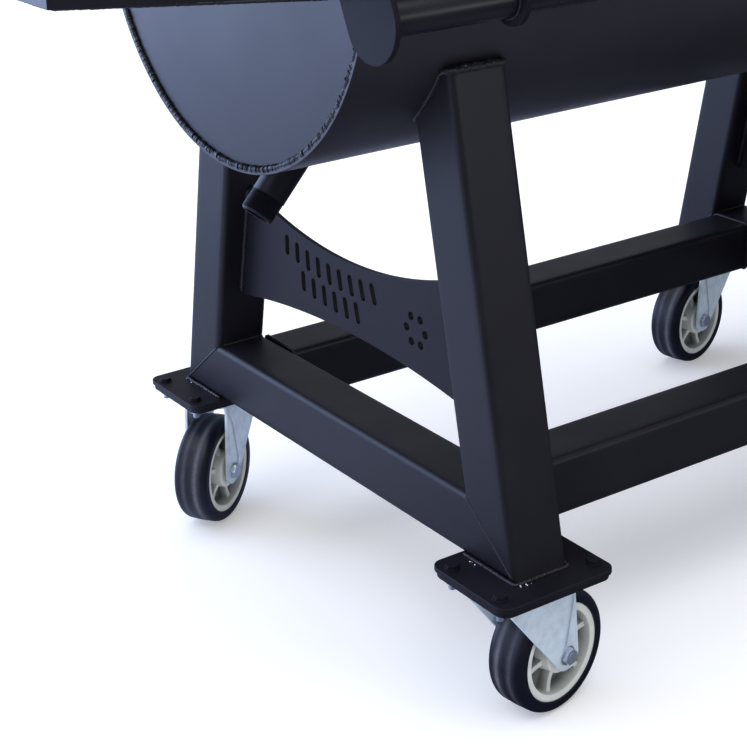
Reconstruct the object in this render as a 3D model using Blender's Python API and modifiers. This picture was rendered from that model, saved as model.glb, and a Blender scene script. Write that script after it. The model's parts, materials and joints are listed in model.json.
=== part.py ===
"""Offset smoker: a round cook chamber on an A-frame of square tube with casters.

Metres, +Z up. X runs along the chamber from the smoke collector to the firebox,
-Y is the front, and Z = 0 is the floor. The origin is under the middle of the
whole smoker's box.
"""

import math

import bmesh
import bpy
from mathutils import Matrix, Vector

INCH = 0.0254
GAP = 0.0003

# Overall
TOTAL_LENGTH = 84.0 * INCH
TOTAL_HEIGHT = 72.0 * INCH
LEFT_END = -TOTAL_LENGTH / 2
RIGHT_END = TOTAL_LENGTH / 2
PLATE = 0.25 * INCH

# Cook chamber
CHAMBER_RADIUS = 11.3 * INCH
CHAMBER_LENGTH = 49.64 * INCH
CHAMBER_AXIS_Z = 35.45 * INCH
CHAMBER_SIDES = 56
COLLECTOR_LENGTH = 9.72 * INCH
CHAMBER_LEFT = LEFT_END + COLLECTOR_LENGTH
CHAMBER_RIGHT = CHAMBER_LEFT + CHAMBER_LENGTH
CHAMBER_MID = (CHAMBER_LEFT + CHAMBER_RIGHT) / 2
END_RECESS = 0.15 * INCH
SMOKE_PASSAGE = (15.0 * INCH, 34.1 * INCH, 39.3 * INCH)
FIRE_PASSAGE = (11.0 * INCH, 26.5 * INCH, 33.0 * INCH)
GRATE_Z = 33.2 * INCH
GRATE_SIZE = (23.4 * INCH, 20.4 * INCH)
GRATE_BARS = 14
GRATE_BAR = 0.25 * INCH
LEDGE_SIZE = (CHAMBER_LENGTH - 2 * INCH, 1.6 * INCH, 0.19 * INCH)
LEDGE_Y = 10.15 * INCH
LEDGE_Z = GRATE_Z - 0.35 * INCH
DRAIN_RADIUS = 0.83 * INCH
DRAIN_BORE = 0.62 * INCH
DRAIN_LENGTH = 3.75 * INCH
DRAIN_TURN = math.radians(42.0)
DRAIN_TOP = (CHAMBER_LEFT + 3.67 * INCH, 0.0, CHAMBER_AXIS_Z - CHAMBER_RADIUS + 0.35 * INCH)

# Smoke collector and chimney
COLLECTOR_WIDE = 18.06 * INCH
COLLECTOR_NARROW = 6.26 * INCH
COLLECTOR_BOTTOM = 33.19 * INCH
COLLECTOR_HEIGHT = 6.7 * INCH
CHIMNEY_RADIUS = 3.0 * INCH
CHIMNEY_X = LEFT_END + 3.4 * INCH
CHIMNEY_SIDES = 32
CHIMNEY_WALL = 0.19 * INCH
CHIMNEY_TOP = TOTAL_HEIGHT - 0.75 * INCH
DAMPER_CAP = 0.19 * INCH
DAMPER_PIN_Y = CHIMNEY_RADIUS + 0.55 * INCH
DAMPER_PIN_RADIUS = 0.12 * INCH

# A-frame of square tube
TUBE = 3.0 * INCH
TUBE_WALL = 0.25 * INCH
TUBE_CORNER = 0.32 * INCH
DECK_Z = 7.75 * INCH
LEG_LEAN = math.atan(0.196)
LEG_TOP_Z = 29.65 * INCH
FRAME_OVERHANG = 4.68 * INCH
FRAME_DEPTH = 29.05 * INCH
FRAME_LEFT = CHAMBER_LEFT + FRAME_OVERHANG
FRAME_RIGHT = CHAMBER_RIGHT - FRAME_OVERHANG
LONG_RAIL_Y = FRAME_DEPTH / 2 - 5.2 * INCH
GUSSET_TOP_RADIUS = 25.0 * INCH
GUSSET_TOP_Z = DECK_Z + 10.59 * INCH
GUSSET_BOTTOM_RADIUS = 55.0 * INCH
GUSSET_BOTTOM_Z = DECK_Z + 6.92 * INCH

# Casters
BASE_PLATE = (6.4 * INCH, 5.3 * INCH, 0.25 * INCH)
BASE_CORNER = 0.6 * INCH
CASTER_INSET_X = 1.45 * INCH
CASTER_INSET_Y = 1.26 * INCH
BOLT_SPACING = (5.25 * INCH, 3.375 * INCH)
BOLT_RADIUS = 0.19 * INCH
BOLT_SIDES = 8
WHEEL_RADIUS = 3.0 * INCH
WHEEL_HALF = 1.0 * INCH
TRAIL = 1.6 * INCH
CASTERS = {
    "front_left": (-1, -1, 9.5),
    "front_right": (1, -1, 20.0),
    "rear_left": (-1, 1, 213.0),
    "rear_right": (1, 1, 192.0),
}

# Lid: angles run from the front, level with the axis, up and over the top
OPENING_ANGLES = (6.0, 112.0)
LID_ANGLES = (3.0, 116.0)
OPENING_LENGTH = 42.0 * INCH
LID_LENGTH = 43.5 * INCH
HINGE_ANGLE = 119.0
HINGE_RADIUS = CHAMBER_RADIUS + 0.9 * INCH
TORQUE_TUBE_RADIUS = 0.5 * INCH
ARM_SPAN = 52.28 * INCH
ARM_HALF_WIDTH = 1.65 * INCH
HANDLE_YZ = (-13.51 * INCH, 33.12 * INCH)
ELBOW_YZ = (-9.3 * INCH, 42.5 * INCH)
COUNTERWEIGHT_ARM = 8.0 * INCH
COUNTERWEIGHT_RISE = math.radians(40.0)
HANDLE_RADIUS = 0.72 * INCH
HANDLE_SLIM = 0.65 * INCH
BRACKET_SPAN = 39.1 * INCH
BRACKET_ANGLE = 22.0
BRACKET_HALF_WIDTH = 1.1 * INCH
STRAP_ANGLE = 105.0
STRAP_SPACING = 19.0 * INCH
BEARING_SPAN = 47.2 * INCH
DIAL_ANGLE = 38.0
DIAL_RADIUS = 1.5 * INCH
DIAL_FACE = 0.9 * INCH

# Firebox
FIREBOX_LENGTH = 21.0 * INCH
FIREBOX_WIDTH = 20.0 * INCH
FIREBOX_BOTTOM = 14.5 * INCH
FIREBOX_TOP = 34.5 * INCH
FIREBOX_LEFT = CHAMBER_RIGHT + GAP
FIREBOX_RIGHT = FIREBOX_LEFT + FIREBOX_LENGTH
FIREBOX_MID_Z = (FIREBOX_BOTTOM + FIREBOX_TOP) / 2
DOOR_X = FIREBOX_RIGHT + GAP + PLATE / 2
DOOR_SIZE = 20.2 * INCH
DOOR_HINGE_X = FIREBOX_RIGHT + 0.5 * INCH
DOOR_HINGE_Y = FIREBOX_WIDTH / 2 + 0.6 * INCH
KNUCKLE_RADIUS = 0.42 * INCH
HINGE_PIN_RADIUS = 0.22 * INCH
DAMPER_Z = 21.0 * INCH
DAMPER_RADIUS = 3.7 * INCH
AIR_HOLE_RADIUS = 0.95 * INCH
AIR_HOLE_CIRCLE = 2.1 * INCH
STUD_RADIUS = 0.19 * INCH
LATCH_Y = -8.6 * INCH
KEEPER_Z = FIREBOX_MID_Z - 1.25 * INCH


def clear_scene():
    for item in list(bpy.data.objects):
        bpy.data.objects.remove(item, do_unlink=True)


clear_scene()
PARTS = bpy.data.collections.new("offset_smoker")
CUTTERS = bpy.data.collections.new("cutters")
bpy.context.scene.collection.children.link(PARTS)
bpy.context.scene.collection.children.link(CUTTERS)


def paint(name, color, roughness, metallic):
    material = bpy.data.materials.new(name)
    material.use_nodes = True
    shader = material.node_tree.nodes["Principled BSDF"]
    shader.inputs["Base Color"].default_value = (*color, 1.0)
    shader.inputs["Roughness"].default_value = roughness
    shader.inputs["Metallic"].default_value = metallic
    return material


BLACK_PAINT = ("black_paint", (0.022, 0.021, 0.026), 0.42, 0.25)
ZINC = ("zinc_plate", (0.62, 0.66, 0.70), 0.38, 0.9)
CORE_PLASTIC = ("wheel_core", (0.52, 0.53, 0.50), 0.5, 0.0)
TREAD = ("wheel_tread", (0.030, 0.034, 0.055), 0.55, 0.0)
BARE_STEEL = ("bare_steel", (0.20, 0.19, 0.18), 0.55, 0.8)
DIAL = ("dial_steel", (0.66, 0.66, 0.66), 0.25, 0.9)


# ---------------------------------------------------------------- making tools


def place(name, mesh, finish, location=(0, 0, 0), rotation=(0, 0, 0), parent=None):
    obj = bpy.data.objects.new(name, mesh)
    obj.location = location
    obj.rotation_euler = rotation
    obj.parent = parent
    if finish is None:
        CUTTERS.objects.link(obj)
        obj.hide_render = True
        obj.display_type = "WIRE"
    else:
        PARTS.objects.link(obj)
        tint, color, roughness, metallic = finish
        mesh.materials.append(paint(name + "_" + tint, color, roughness, metallic))
    return obj


def axis_empty(name, location, rotation=(0, 0, 0), parent=None):
    empty = bpy.data.objects.new(name, None)
    empty.location = location
    empty.rotation_euler = rotation
    empty.parent = parent
    PARTS.objects.link(empty)
    bpy.context.view_layer.update()
    return empty


def finish_mesh(name, bm, smooth=False):
    mesh = bpy.data.meshes.new(name)
    bm.to_mesh(mesh)
    bm.free()
    if smooth:
        mesh.shade_smooth()
        mesh.set_sharp_from_angle(angle=math.radians(35))
    return mesh


def block(name, size, bevel=0.0, along=None, open_ends=None):
    """A box of the given size, its edges rounded, all of them or those along one axis."""
    bm = bmesh.new()
    bmesh.ops.create_cube(bm, size=1.0)
    bmesh.ops.scale(bm, vec=size, verts=bm.verts)
    if open_ends is not None:
        ends = [face for face in bm.faces if open_ends(face.normal)]
        bmesh.ops.delete(bm, geom=ends, context="FACES_ONLY")
    if bevel:
        edges = [edge for edge in bm.edges if along is None or runs_along(edge, along)]
        bmesh.ops.bevel(bm, geom=edges, offset=bevel, segments=2, profile=0.5, affect="EDGES")
    return finish_mesh(name, bm)


def runs_along(edge, axis):
    direction = (edge.verts[1].co - edge.verts[0].co).normalized()
    return abs(direction[axis]) > 0.99


def rod(name, radius, length, sides=24, open_ends=False):
    """A round bar along Z, or the open wall of a pipe."""
    bm = bmesh.new()
    bmesh.ops.create_cone(
        bm, cap_ends=not open_ends, segments=sides, radius1=radius, radius2=radius, depth=length
    )
    return finish_mesh(name, bm, smooth=sides > 8)


def thicken(obj, wall):
    """Give an open surface a wall that grows inwards."""
    solid = obj.modifiers.new("wall", "SOLIDIFY")
    solid.thickness = wall
    solid.offset = -1.0
    solid.use_even_offset = True
    return obj


def flat_plate(name, outline, thickness, finish, x, parent=None, origin=(0.0, 0.0)):
    """A plate cut from sheet, its outline given in Y and Z, standing at x."""
    curve = bpy.data.curves.new(name, "CURVE")
    curve.dimensions = "2D"
    curve.fill_mode = "BOTH"
    curve.extrude = thickness / 2
    spline = curve.splines.new("POLY")
    spline.points.add(len(outline) - 1)
    for point, (y, z) in zip(spline.points, outline):
        point.co = (y - origin[0], z - origin[1], 0.0, 1.0)
    spline.use_cyclic_u = True
    draft = bpy.data.objects.new(name + "_draft", curve)
    CUTTERS.objects.link(draft)
    bpy.context.view_layer.update()
    evaluated = draft.evaluated_get(bpy.context.evaluated_depsgraph_get())
    mesh = bpy.data.meshes.new_from_object(evaluated)
    bpy.data.objects.remove(draft, do_unlink=True)
    mesh.materials.clear()
    mesh.transform(Matrix(((0, 0, 1), (1, 0, 0), (0, 1, 0))).to_4x4())
    bm = bmesh.new()
    bm.from_mesh(mesh)
    bmesh.ops.remove_doubles(bm, verts=bm.verts, dist=0.00001)
    bmesh.ops.recalc_face_normals(bm, faces=bm.faces)
    bm.to_mesh(mesh)
    bm.free()
    return place(name, mesh, finish, (x, origin[0], origin[1]), parent=parent)


def turned(name, profile, finish, steps, closed=False, **placing):
    """Turn a profile of (radius, height) pairs about Z."""
    mesh = bpy.data.meshes.new(name)
    edges = [(i, i + 1) for i in range(len(profile) - 1)]
    if closed:
        edges.append((len(profile) - 1, 0))
    mesh.from_pydata([(radius, 0.0, height) for radius, height in profile], edges, [])
    obj = place(name, mesh, finish, **placing)
    screw = obj.modifiers.new("turn", "SCREW")
    screw.angle = math.tau
    screw.steps = steps
    screw.render_steps = steps
    screw.use_merge_vertices = True
    screw.merge_threshold = 0.00001
    screw.use_smooth_shade = True
    return obj


def combine(target, other, operation):
    boolean = target.modifiers.new(operation.lower(), "BOOLEAN")
    boolean.operation = operation
    boolean.object = other
    boolean.solver = "EXACT"
    return target


def cut(target, cutter):
    return combine(target, cutter, "DIFFERENCE")


def weld_on(target, piece):
    return combine(target, piece, "UNION")


def strap_outline(points, half_width, turns=8):
    """The outline of a flat bar along a bent line, with round ends."""
    line = [Vector(point) for point in points]
    left, right = [], []
    for i, point in enumerate(line):
        before = (point - line[i - 1]).normalized() if i else (line[1] - point).normalized()
        after = (line[i + 1] - point).normalized() if i + 1 < len(line) else before
        across = Vector((-(before + after).y, (before + after).x)).normalized()
        reach = half_width / across.dot(Vector((-before.y, before.x)))
        left.append(point + across * reach)
        right.append(point - across * reach)
    outline = list(right)
    outline += round_end(line[-1], right[-1], turns)
    outline += reversed(left)
    outline += round_end(line[0], left[0], turns)
    return [tuple(point) for point in outline]


def round_end(centre, start, turns):
    spoke = start - centre
    steps = [math.pi * i / turns for i in range(1, turns)]
    return [centre + Matrix.Rotation(step, 2) @ spoke for step in steps]


def around_chamber(angle, radius):
    """The Y and Z of a point on a circle about the chamber, from the front upwards."""
    turn = math.radians(angle)
    return -radius * math.cos(turn), CHAMBER_AXIS_Z + radius * math.sin(turn)


def wedge_outline(angles, radius, steps):
    first, last = angles
    outline = [(0.0, CHAMBER_AXIS_Z)]
    for i in range(steps + 1):
        outline.append(around_chamber(first + (last - first) * i / steps, radius))
    return outline


def chamber_cutter(name, radius):
    mesh = rod(name, radius, CHAMBER_LENGTH * 1.2, CHAMBER_SIDES)
    return place(name, mesh, None, (CHAMBER_MID, 0, CHAMBER_AXIS_Z), (0, math.pi / 2, 0))


# ------------------------------------------------------------- the cook chamber


def make_chamber_shell():
    mesh = rod("cook_chamber_shell", CHAMBER_RADIUS, CHAMBER_LENGTH, CHAMBER_SIDES, True)
    shell = place(
        "cook_chamber_shell", mesh, BLACK_PAINT, (CHAMBER_MID, 0, CHAMBER_AXIS_Z), (0, math.pi / 2, 0)
    )
    thicken(shell, PLATE)
    door_way = wedge_outline(OPENING_ANGLES, CHAMBER_RADIUS * 1.4, 12)
    cut(shell, flat_plate("door_way_cutter", door_way, OPENING_LENGTH, None, CHAMBER_MID))
    for sign in (-1, 1):
        ledge = block("grate_ledge", LEDGE_SIZE)
        weld_on(shell, place("grate_ledge", ledge, None, (CHAMBER_MID, sign * LEDGE_Y, LEDGE_Z)))
    hole = rod("drain_hole_cutter", DRAIN_RADIUS + GAP, 3 * INCH, 24)
    cut(shell, place("drain_hole_cutter", hole, None, DRAIN_TOP, (0, DRAIN_TURN, 0)))


def make_drain_nipple():
    """A pipe nipple that slants down towards the collector end."""
    along = Vector((-math.sin(DRAIN_TURN), 0.0, -math.cos(DRAIN_TURN)))
    centre = Vector(DRAIN_TOP) + along * (DRAIN_LENGTH / 2)
    mesh = rod("drain_nipple", DRAIN_RADIUS, DRAIN_LENGTH, 24, True)
    nipple = place("drain_nipple", mesh, BLACK_PAINT, centre, (0, DRAIN_TURN, 0))
    thicken(nipple, DRAIN_RADIUS - DRAIN_BORE)


def make_end_plates():
    """Discs let into the shell's ends, each with its smoke passage cut through."""
    passages = {
        "left": (CHAMBER_LEFT + END_RECESS, *SMOKE_PASSAGE),
        "right": (CHAMBER_RIGHT - END_RECESS - PLATE, *FIRE_PASSAGE),
    }
    for side, (x, width, low, high) in passages.items():
        name = "chamber_end_plate_" + side
        mesh = rod(name, CHAMBER_RADIUS - PLATE - GAP, PLATE, CHAMBER_SIDES)
        centre = (x + PLATE / 2, 0, CHAMBER_AXIS_Z)
        plate = place(name, mesh, BLACK_PAINT, centre, (0, math.pi / 2, 0))
        hole = block(name + "_cutter", (2 * INCH, width, high - low))
        cut(plate, place(name + "_cutter", hole, None, (centre[0], 0, (low + high) / 2)))


def make_smoke_collector():
    """A box that narrows from the chamber's end to its own outer end."""
    name = "smoke_collector"
    length = COLLECTOR_LENGTH - GAP
    mesh = block(name, (length, COLLECTOR_WIDE, COLLECTOR_HEIGHT), open_ends=lambda n: n.x > 0.5)
    for vertex in mesh.vertices:
        if vertex.co.x < 0:
            vertex.co.y *= COLLECTOR_NARROW / COLLECTOR_WIDE
    centre = (LEFT_END + length / 2, 0, COLLECTOR_BOTTOM + COLLECTOR_HEIGHT / 2)
    collector = thicken(place(name, mesh, BLACK_PAINT, centre), PLATE)
    mouth = block("collector_mouth_cutter", (2 * INCH, 30 * INCH, 20 * INCH))
    mouth_at = (CHAMBER_LEFT - GAP + INCH, 0, centre[2])
    cut(collector, place("collector_mouth_cutter", mouth, None, mouth_at))
    hole = rod("chimney_hole_cutter", CHIMNEY_RADIUS - PLATE, 2 * INCH, CHIMNEY_SIDES)
    top = COLLECTOR_BOTTOM + COLLECTOR_HEIGHT
    cut(collector, place("chimney_hole_cutter", hole, None, (CHIMNEY_X, 0, top)))


def make_chimney():
    low = COLLECTOR_BOTTOM + COLLECTOR_HEIGHT + GAP
    high = CHIMNEY_TOP
    mesh = rod("chimney_pipe", CHIMNEY_RADIUS, high - low, CHIMNEY_SIDES, True)
    pipe = place("chimney_pipe", mesh, BLACK_PAINT, (CHIMNEY_X, 0, (low + high) / 2))
    thicken(pipe, CHIMNEY_WALL)
    ear = rod("chimney_ear", 0.45 * INCH, 0.5 * INCH, 16)
    weld_on(pipe, place("chimney_ear", ear, None, (CHIMNEY_X, DAMPER_PIN_Y, high - 0.25 * INCH)))
    web = block("chimney_ear_web", (0.5 * INCH, 0.7 * INCH, 0.4 * INCH))
    web_y = CHIMNEY_RADIUS + 0.18 * INCH
    weld_on(pipe, place("chimney_ear_web", web, None, (CHIMNEY_X, web_y, high - 0.3 * INCH)))
    bore = rod("chimney_ear_bore", DAMPER_PIN_RADIUS + 0.04 * INCH, 2 * INCH, 12)
    cut(pipe, place("chimney_ear_bore", bore, None, (CHIMNEY_X, DAMPER_PIN_Y, high)))
    make_chimney_damper(high)


def make_chimney_damper(pipe_top):
    """A round cap that swings aside on a pin through the pipe's ear."""
    pin = axis_empty("chimney_damper_axis", (CHIMNEY_X, DAMPER_PIN_Y, pipe_top))
    disc = rod("chimney_damper", CHIMNEY_RADIUS + 0.1 * INCH, DAMPER_CAP, CHIMNEY_SIDES)
    lift = GAP + DAMPER_CAP / 2
    cap = place("chimney_damper", disc, BLACK_PAINT, (0, -DAMPER_PIN_Y, lift), parent=pin)
    tab = block("damper_tab", (0.8 * INCH, 1.3 * INCH, DAMPER_CAP * 0.9))
    weld_on(cap, place("damper_tab", tab, None, (0, -0.2 * INCH, lift), parent=pin))
    stem = rod("damper_stem", DAMPER_PIN_RADIUS, 1.3 * INCH, 12)
    weld_on(cap, place("damper_stem", stem, None, (0, 0, 0.1 * INCH), parent=pin))
    grip = block("damper_grip", (0.3 * INCH, 1.2 * INCH, 0.17 * INCH))
    grip_y = -DAMPER_PIN_Y - CHIMNEY_RADIUS - 0.5 * INCH
    weld_on(cap, place("damper_grip", grip, None, (0, grip_y, lift), parent=pin))


def make_grate(name, centre, size, bars, height):
    """Bars across two side bars, welded into one grate."""
    length, width = size
    mesh = block(name, (length, GRATE_BAR, height))
    side_y = (width - GRATE_BAR) / 2
    grate = place(name, mesh, BARE_STEEL, (centre[0], centre[1] - side_y, centre[2]))
    other = block(name + "_side", (length, GRATE_BAR, height))
    weld_on(grate, place(name + "_side", other, None, (centre[0], centre[1] + side_y, centre[2])))
    for i in range(bars):
        bar_x = centre[0] + (length - 0.3 * INCH) * (i / (bars - 1) - 0.5)
        bar = block(name + "_bar", (GRATE_BAR, width - 0.1 * INCH, height * 0.8))
        weld_on(grate, place(name + "_bar", bar, None, (bar_x, centre[1], centre[2])))


def make_cooking_grates():
    for side, sign in (("left", -1), ("right", 1)):
        centre = (CHAMBER_MID + sign * (GRATE_SIZE[0] / 2 + 0.1 * INCH), 0.0, GRATE_Z)
        make_grate("cooking_grate_" + side, centre, GRATE_SIZE, GRATE_BARS, 0.375 * INCH)


# -------------------------------------------------------------------- the lid


def lid_axis_yz():
    return around_chamber(HINGE_ANGLE, HINGE_RADIUS)


def make_lid():
    hinge_y, hinge_z = lid_axis_yz()
    hinge = axis_empty("lid_axis", (0, hinge_y, hinge_z))
    make_lid_skin(hinge)
    make_lid_arms(hinge)
    make_handle_bar(hinge)
    make_torque_tube(hinge)
    make_thermometer(hinge)


def on_lid(hinge, x, y, z):
    """A world place written in the lid's own frame, whose origin is on the hinge."""
    return x, y - hinge.location.y, z - hinge.location.z


def lid_plate(name, outline, thickness, x, hinge, finish=BLACK_PAINT):
    """A plate that swings with the lid; its outline is in world Y and Z."""
    plate = flat_plate(name, outline, thickness, finish, x, hinge, (hinge.location.y, hinge.location.z))
    plate.location = (x, 0, 0)
    return plate


def make_lid_skin(hinge):
    """The rolled plate that covers the doorway and laps over its edges."""
    inner = CHAMBER_RADIUS + GAP
    outer = inner + PLATE
    first, last = LID_ANGLES
    steps = 26
    angles = [first + (last - first) * i / steps for i in range(steps + 1)]
    outline = [around_chamber(angle, outer) for angle in angles]
    outline += [around_chamber(angle, inner) for angle in reversed(angles)]
    lid_plate("lid_skin", outline, LID_LENGTH, CHAMBER_MID, hinge)


def make_lid_arms(hinge):
    """Cranked flat bars outboard of the end plates, from handle to counterweight."""
    weight = counterweight_yz()
    line = [HANDLE_YZ, ELBOW_YZ, lid_axis_yz(), weight]
    outline = strap_outline(line, ARM_HALF_WIDTH)
    for side, sign in (("left", -1), ("right", 1)):
        lid_plate("lid_arm_" + side, outline, PLATE, CHAMBER_MID + sign * ARM_SPAN / 2, hinge)
    length = ARM_SPAN - PLATE - 2 * GAP
    place_on_lid("counterweight", rod("counterweight", 1.25 * INCH, length, 28), weight, hinge)


def counterweight_yz():
    y, z = lid_axis_yz()
    reach = COUNTERWEIGHT_ARM
    return y + reach * math.cos(COUNTERWEIGHT_RISE), z + reach * math.sin(COUNTERWEIGHT_RISE)


def place_on_lid(name, mesh, yz, hinge, x=CHAMBER_MID, finish=BLACK_PAINT):
    return place(name, mesh, finish, on_lid(hinge, x, *yz), (0, math.pi / 2, 0), hinge)


def make_handle_bar(hinge):
    """A pipe between the arms, thicker in the sleeves beyond the brackets."""
    length = ARM_SPAN - PLATE - 2 * GAP
    mesh = rod("lid_handle_bar", HANDLE_SLIM, length, 20)
    bar = place_on_lid("lid_handle_bar", mesh, HANDLE_YZ, hinge)
    sleeve = (ARM_SPAN - BRACKET_SPAN) / 2 - PLATE - 2 * GAP
    for sign in (-1, 1):
        x = CHAMBER_MID + sign * (length - sleeve) / 2
        mesh = rod("handle_sleeve", HANDLE_RADIUS, sleeve, 20)
        weld_on(bar, place_on_lid("handle_sleeve", mesh, HANDLE_YZ, hinge, x, None))
    weld_on_brackets(bar, hinge)
    bore = rod("handle_bore", HANDLE_SLIM - 0.14 * INCH, length * 1.1, 16)
    cut(bar, place_on_lid("handle_bore", bore, HANDLE_YZ, hinge, finish=None))


def weld_on_brackets(bar, hinge):
    """Plates that carry the handle pipe off the lid's front edge."""
    foot = around_chamber(BRACKET_ANGLE, CHAMBER_RADIUS + PLATE + 0.1 * INCH)
    outline = strap_outline([HANDLE_YZ, foot], BRACKET_HALF_WIDTH)
    seat = chamber_cutter("bracket_seat_cutter", CHAMBER_RADIUS + PLATE + 3 * GAP)
    for sign in (-1, 1):
        x = CHAMBER_MID + sign * BRACKET_SPAN / 2
        weld_on(bar, lid_plate("handle_bracket", outline, PLATE, x, hinge, None))
    cut(bar, seat)


def make_torque_tube(hinge):
    length = ARM_SPAN - PLATE - 2 * GAP
    mesh = rod("lid_torque_tube", TORQUE_TUBE_RADIUS, length, 24)
    tube = place_on_lid("lid_torque_tube", mesh, lid_axis_yz(), hinge)
    weld_on_straps(tube, hinge)
    bore = rod("torque_tube_bore", TORQUE_TUBE_RADIUS - 0.13 * INCH, length * 1.1, 16)
    cut(tube, place_on_lid("torque_tube_bore", bore, lid_axis_yz(), hinge, finish=None))


def weld_on_straps(tube, hinge):
    """Short plates from the torque tube to the lid's rear edge."""
    foot = around_chamber(STRAP_ANGLE, CHAMBER_RADIUS + PLATE + 0.2 * INCH)
    outline = strap_outline([foot, lid_axis_yz()], 0.8 * INCH)
    seat = chamber_cutter("strap_seat_cutter", CHAMBER_RADIUS + PLATE + 3 * GAP)
    for i in (-1, 0, 1):
        x = CHAMBER_MID + i * STRAP_SPACING
        weld_on(tube, lid_plate("hinge_strap", outline, 0.375 * INCH, x, hinge, None))
    cut(tube, seat)


def make_thermometer(hinge):
    """A round dial on a short neck that stands on the lid's front."""
    seat = around_chamber(DIAL_ANGLE, CHAMBER_RADIUS + PLATE + 4 * GAP)
    rim = DIAL_RADIUS
    neck = 0.4 * INCH
    profile = [
        (0, DIAL_FACE),
        (rim - 0.2 * INCH, DIAL_FACE),
        (rim, DIAL_FACE - 0.08 * INCH),
        (rim, 0.45 * INCH),
        (rim - 0.15 * INCH, 0.38 * INCH),
        (neck, 0.32 * INCH),
        (neck, 0.0),
        (0, 0),
    ]
    tilt = math.pi / 2 - math.radians(DIAL_ANGLE)
    seat = on_lid(hinge, CHAMBER_MID, *seat)
    turned("thermometer", profile, DIAL, 28, location=seat, rotation=(tilt, 0, 0), parent=hinge)


def make_hinge_bearings():
    """Blocks on the shell, at both ends of the lid, that the torque tube turns in."""
    axis = lid_axis_yz()
    low, high = CHAMBER_RADIUS + 0.05 * INCH, HINGE_RADIUS + 0.85 * INCH
    centre = around_chamber(HINGE_ANGLE, (low + high) / 2)
    tilt = math.radians(90.0 - HINGE_ANGLE)
    for side, sign in (("left", -1), ("right", 1)):
        name = "hinge_bearing_" + side
        x = CHAMBER_MID + sign * BEARING_SPAN / 2
        mesh = block(name, (1.0 * INCH, 1.9 * INCH, high - low), 0.2 * INCH, 0)
        bearing = place(name, mesh, BLACK_PAINT, (x, *centre), (tilt, 0, 0))
        bore = rod(name + "_bore", TORQUE_TUBE_RADIUS + 0.03 * INCH, 2 * INCH, 24)
        cut(bearing, place(name + "_bore", bore, None, (x, *axis), (0, math.pi / 2, 0)))


# ---------------------------------------------------------------- the A-frame


def square_tube(name, length, finish, location, rotation):
    """Square tube with rounded corners, along local Z."""
    size = (TUBE, TUBE, length)
    mesh = block(name, size, TUBE_CORNER, 2, open_ends=lambda n: abs(n.z) > 0.5)
    return thicken(place(name, mesh, finish, location, rotation), TUBE_WALL)


def mitre_cutter(name, sign, above):
    """A block whose one face lies on the mitre between leg and end rail."""
    wide = TUBE / math.cos(LEG_LEAN)
    corner_y = wide + TUBE * math.tan(LEG_LEAN)
    slope = math.atan2(TUBE, corner_y)
    side = 14 * INCH
    normal = Vector((0, math.sin(slope) * sign, math.cos(slope)))
    middle = Vector((0, sign * (FRAME_DEPTH / 2 - corner_y / 2), DECK_Z + TUBE / 2))
    centre = middle + normal * ((side / 2 if above else -side / 2 + GAP))
    mesh = block(name, (FRAME_RIGHT - FRAME_LEFT + side, side, side))
    centre.x = (FRAME_LEFT + FRAME_RIGHT) / 2
    return place(name, mesh, None, centre, (-sign * slope, 0, 0))


def make_legs():
    seat = chamber_cutter("leg_seat_cutter", CHAMBER_RADIUS + GAP)
    trim = block("leg_top_cutter", (60 * INCH, 40 * INCH, 10 * INCH))
    trim = place("leg_top_cutter", trim, None, (CHAMBER_MID, 0, LEG_TOP_Z + 5 * INCH))
    for end, sign in (("front", -1), ("rear", 1)):
        mitre = mitre_cutter("leg_mitre_" + end, sign, above=False)
        for side, x in (("left", FRAME_LEFT + TUBE / 2), ("right", FRAME_RIGHT - TUBE / 2)):
            length = 34 * INCH
            middle_z = LEG_TOP_Z / 2 + DECK_Z / 2
            inset = (middle_z - DECK_Z) * math.tan(LEG_LEAN) + TUBE / 2 / math.cos(LEG_LEAN)
            centre = (x, sign * (FRAME_DEPTH / 2 - inset), middle_z)
            name = "leg_" + end + "_" + side
            leg = square_tube(name, length, BLACK_PAINT, centre, (sign * LEG_LEAN, 0, 0))
            for cutter in (seat, trim, mitre):
                cut(leg, cutter)


def make_rails():
    front = mitre_cutter("rail_mitre_front", -1, above=True)
    rear = mitre_cutter("rail_mitre_rear", 1, above=True)
    z = DECK_Z + TUBE / 2
    for side, x in (("left", FRAME_LEFT + TUBE / 2), ("right", FRAME_RIGHT - TUBE / 2)):
        rail = square_tube("end_rail_" + side, FRAME_DEPTH, BLACK_PAINT, (x, 0, z), (math.pi / 2, 0, 0))
        cut(cut(rail, front), rear)
    length = FRAME_RIGHT - FRAME_LEFT - 2 * TUBE - 2 * GAP
    middle = (FRAME_LEFT + FRAME_RIGHT) / 2
    for end, sign in (("front", -1), ("rear", 1)):
        place_at = (middle, sign * LONG_RAIL_Y, z)
        square_tube("long_rail_" + end, length, BLACK_PAINT, place_at, (0, math.pi / 2, 0))


def gusset_outline():
    """Ends along the legs' inner faces, a hollow top edge and an arched bottom one."""
    wide = TUBE / math.cos(LEG_LEAN) + GAP

    def half_width(z):
        return FRAME_DEPTH / 2 - wide - (z - DECK_Z) * math.tan(LEG_LEAN)

    def top(y):
        return GUSSET_TOP_Z + GUSSET_TOP_RADIUS - math.sqrt(GUSSET_TOP_RADIUS**2 - y**2)

    def bottom(y):
        return GUSSET_BOTTOM_Z - GUSSET_BOTTOM_RADIUS + math.sqrt(GUSSET_BOTTOM_RADIUS**2 - y**2)

    def reach_leg(edge):
        y = 0.0
        for _ in range(6):
            y = half_width(edge(y))
        return y

    steps = 12
    top_half = reach_leg(top)
    bottom_half = reach_leg(bottom)
    across = [2 * i / steps - 1 for i in range(steps + 1)]
    outline = [(bottom_half * t, bottom(bottom_half * t)) for t in across]
    outline += [(top_half * t, top(top_half * t)) for t in reversed(across)]
    return outline


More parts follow.
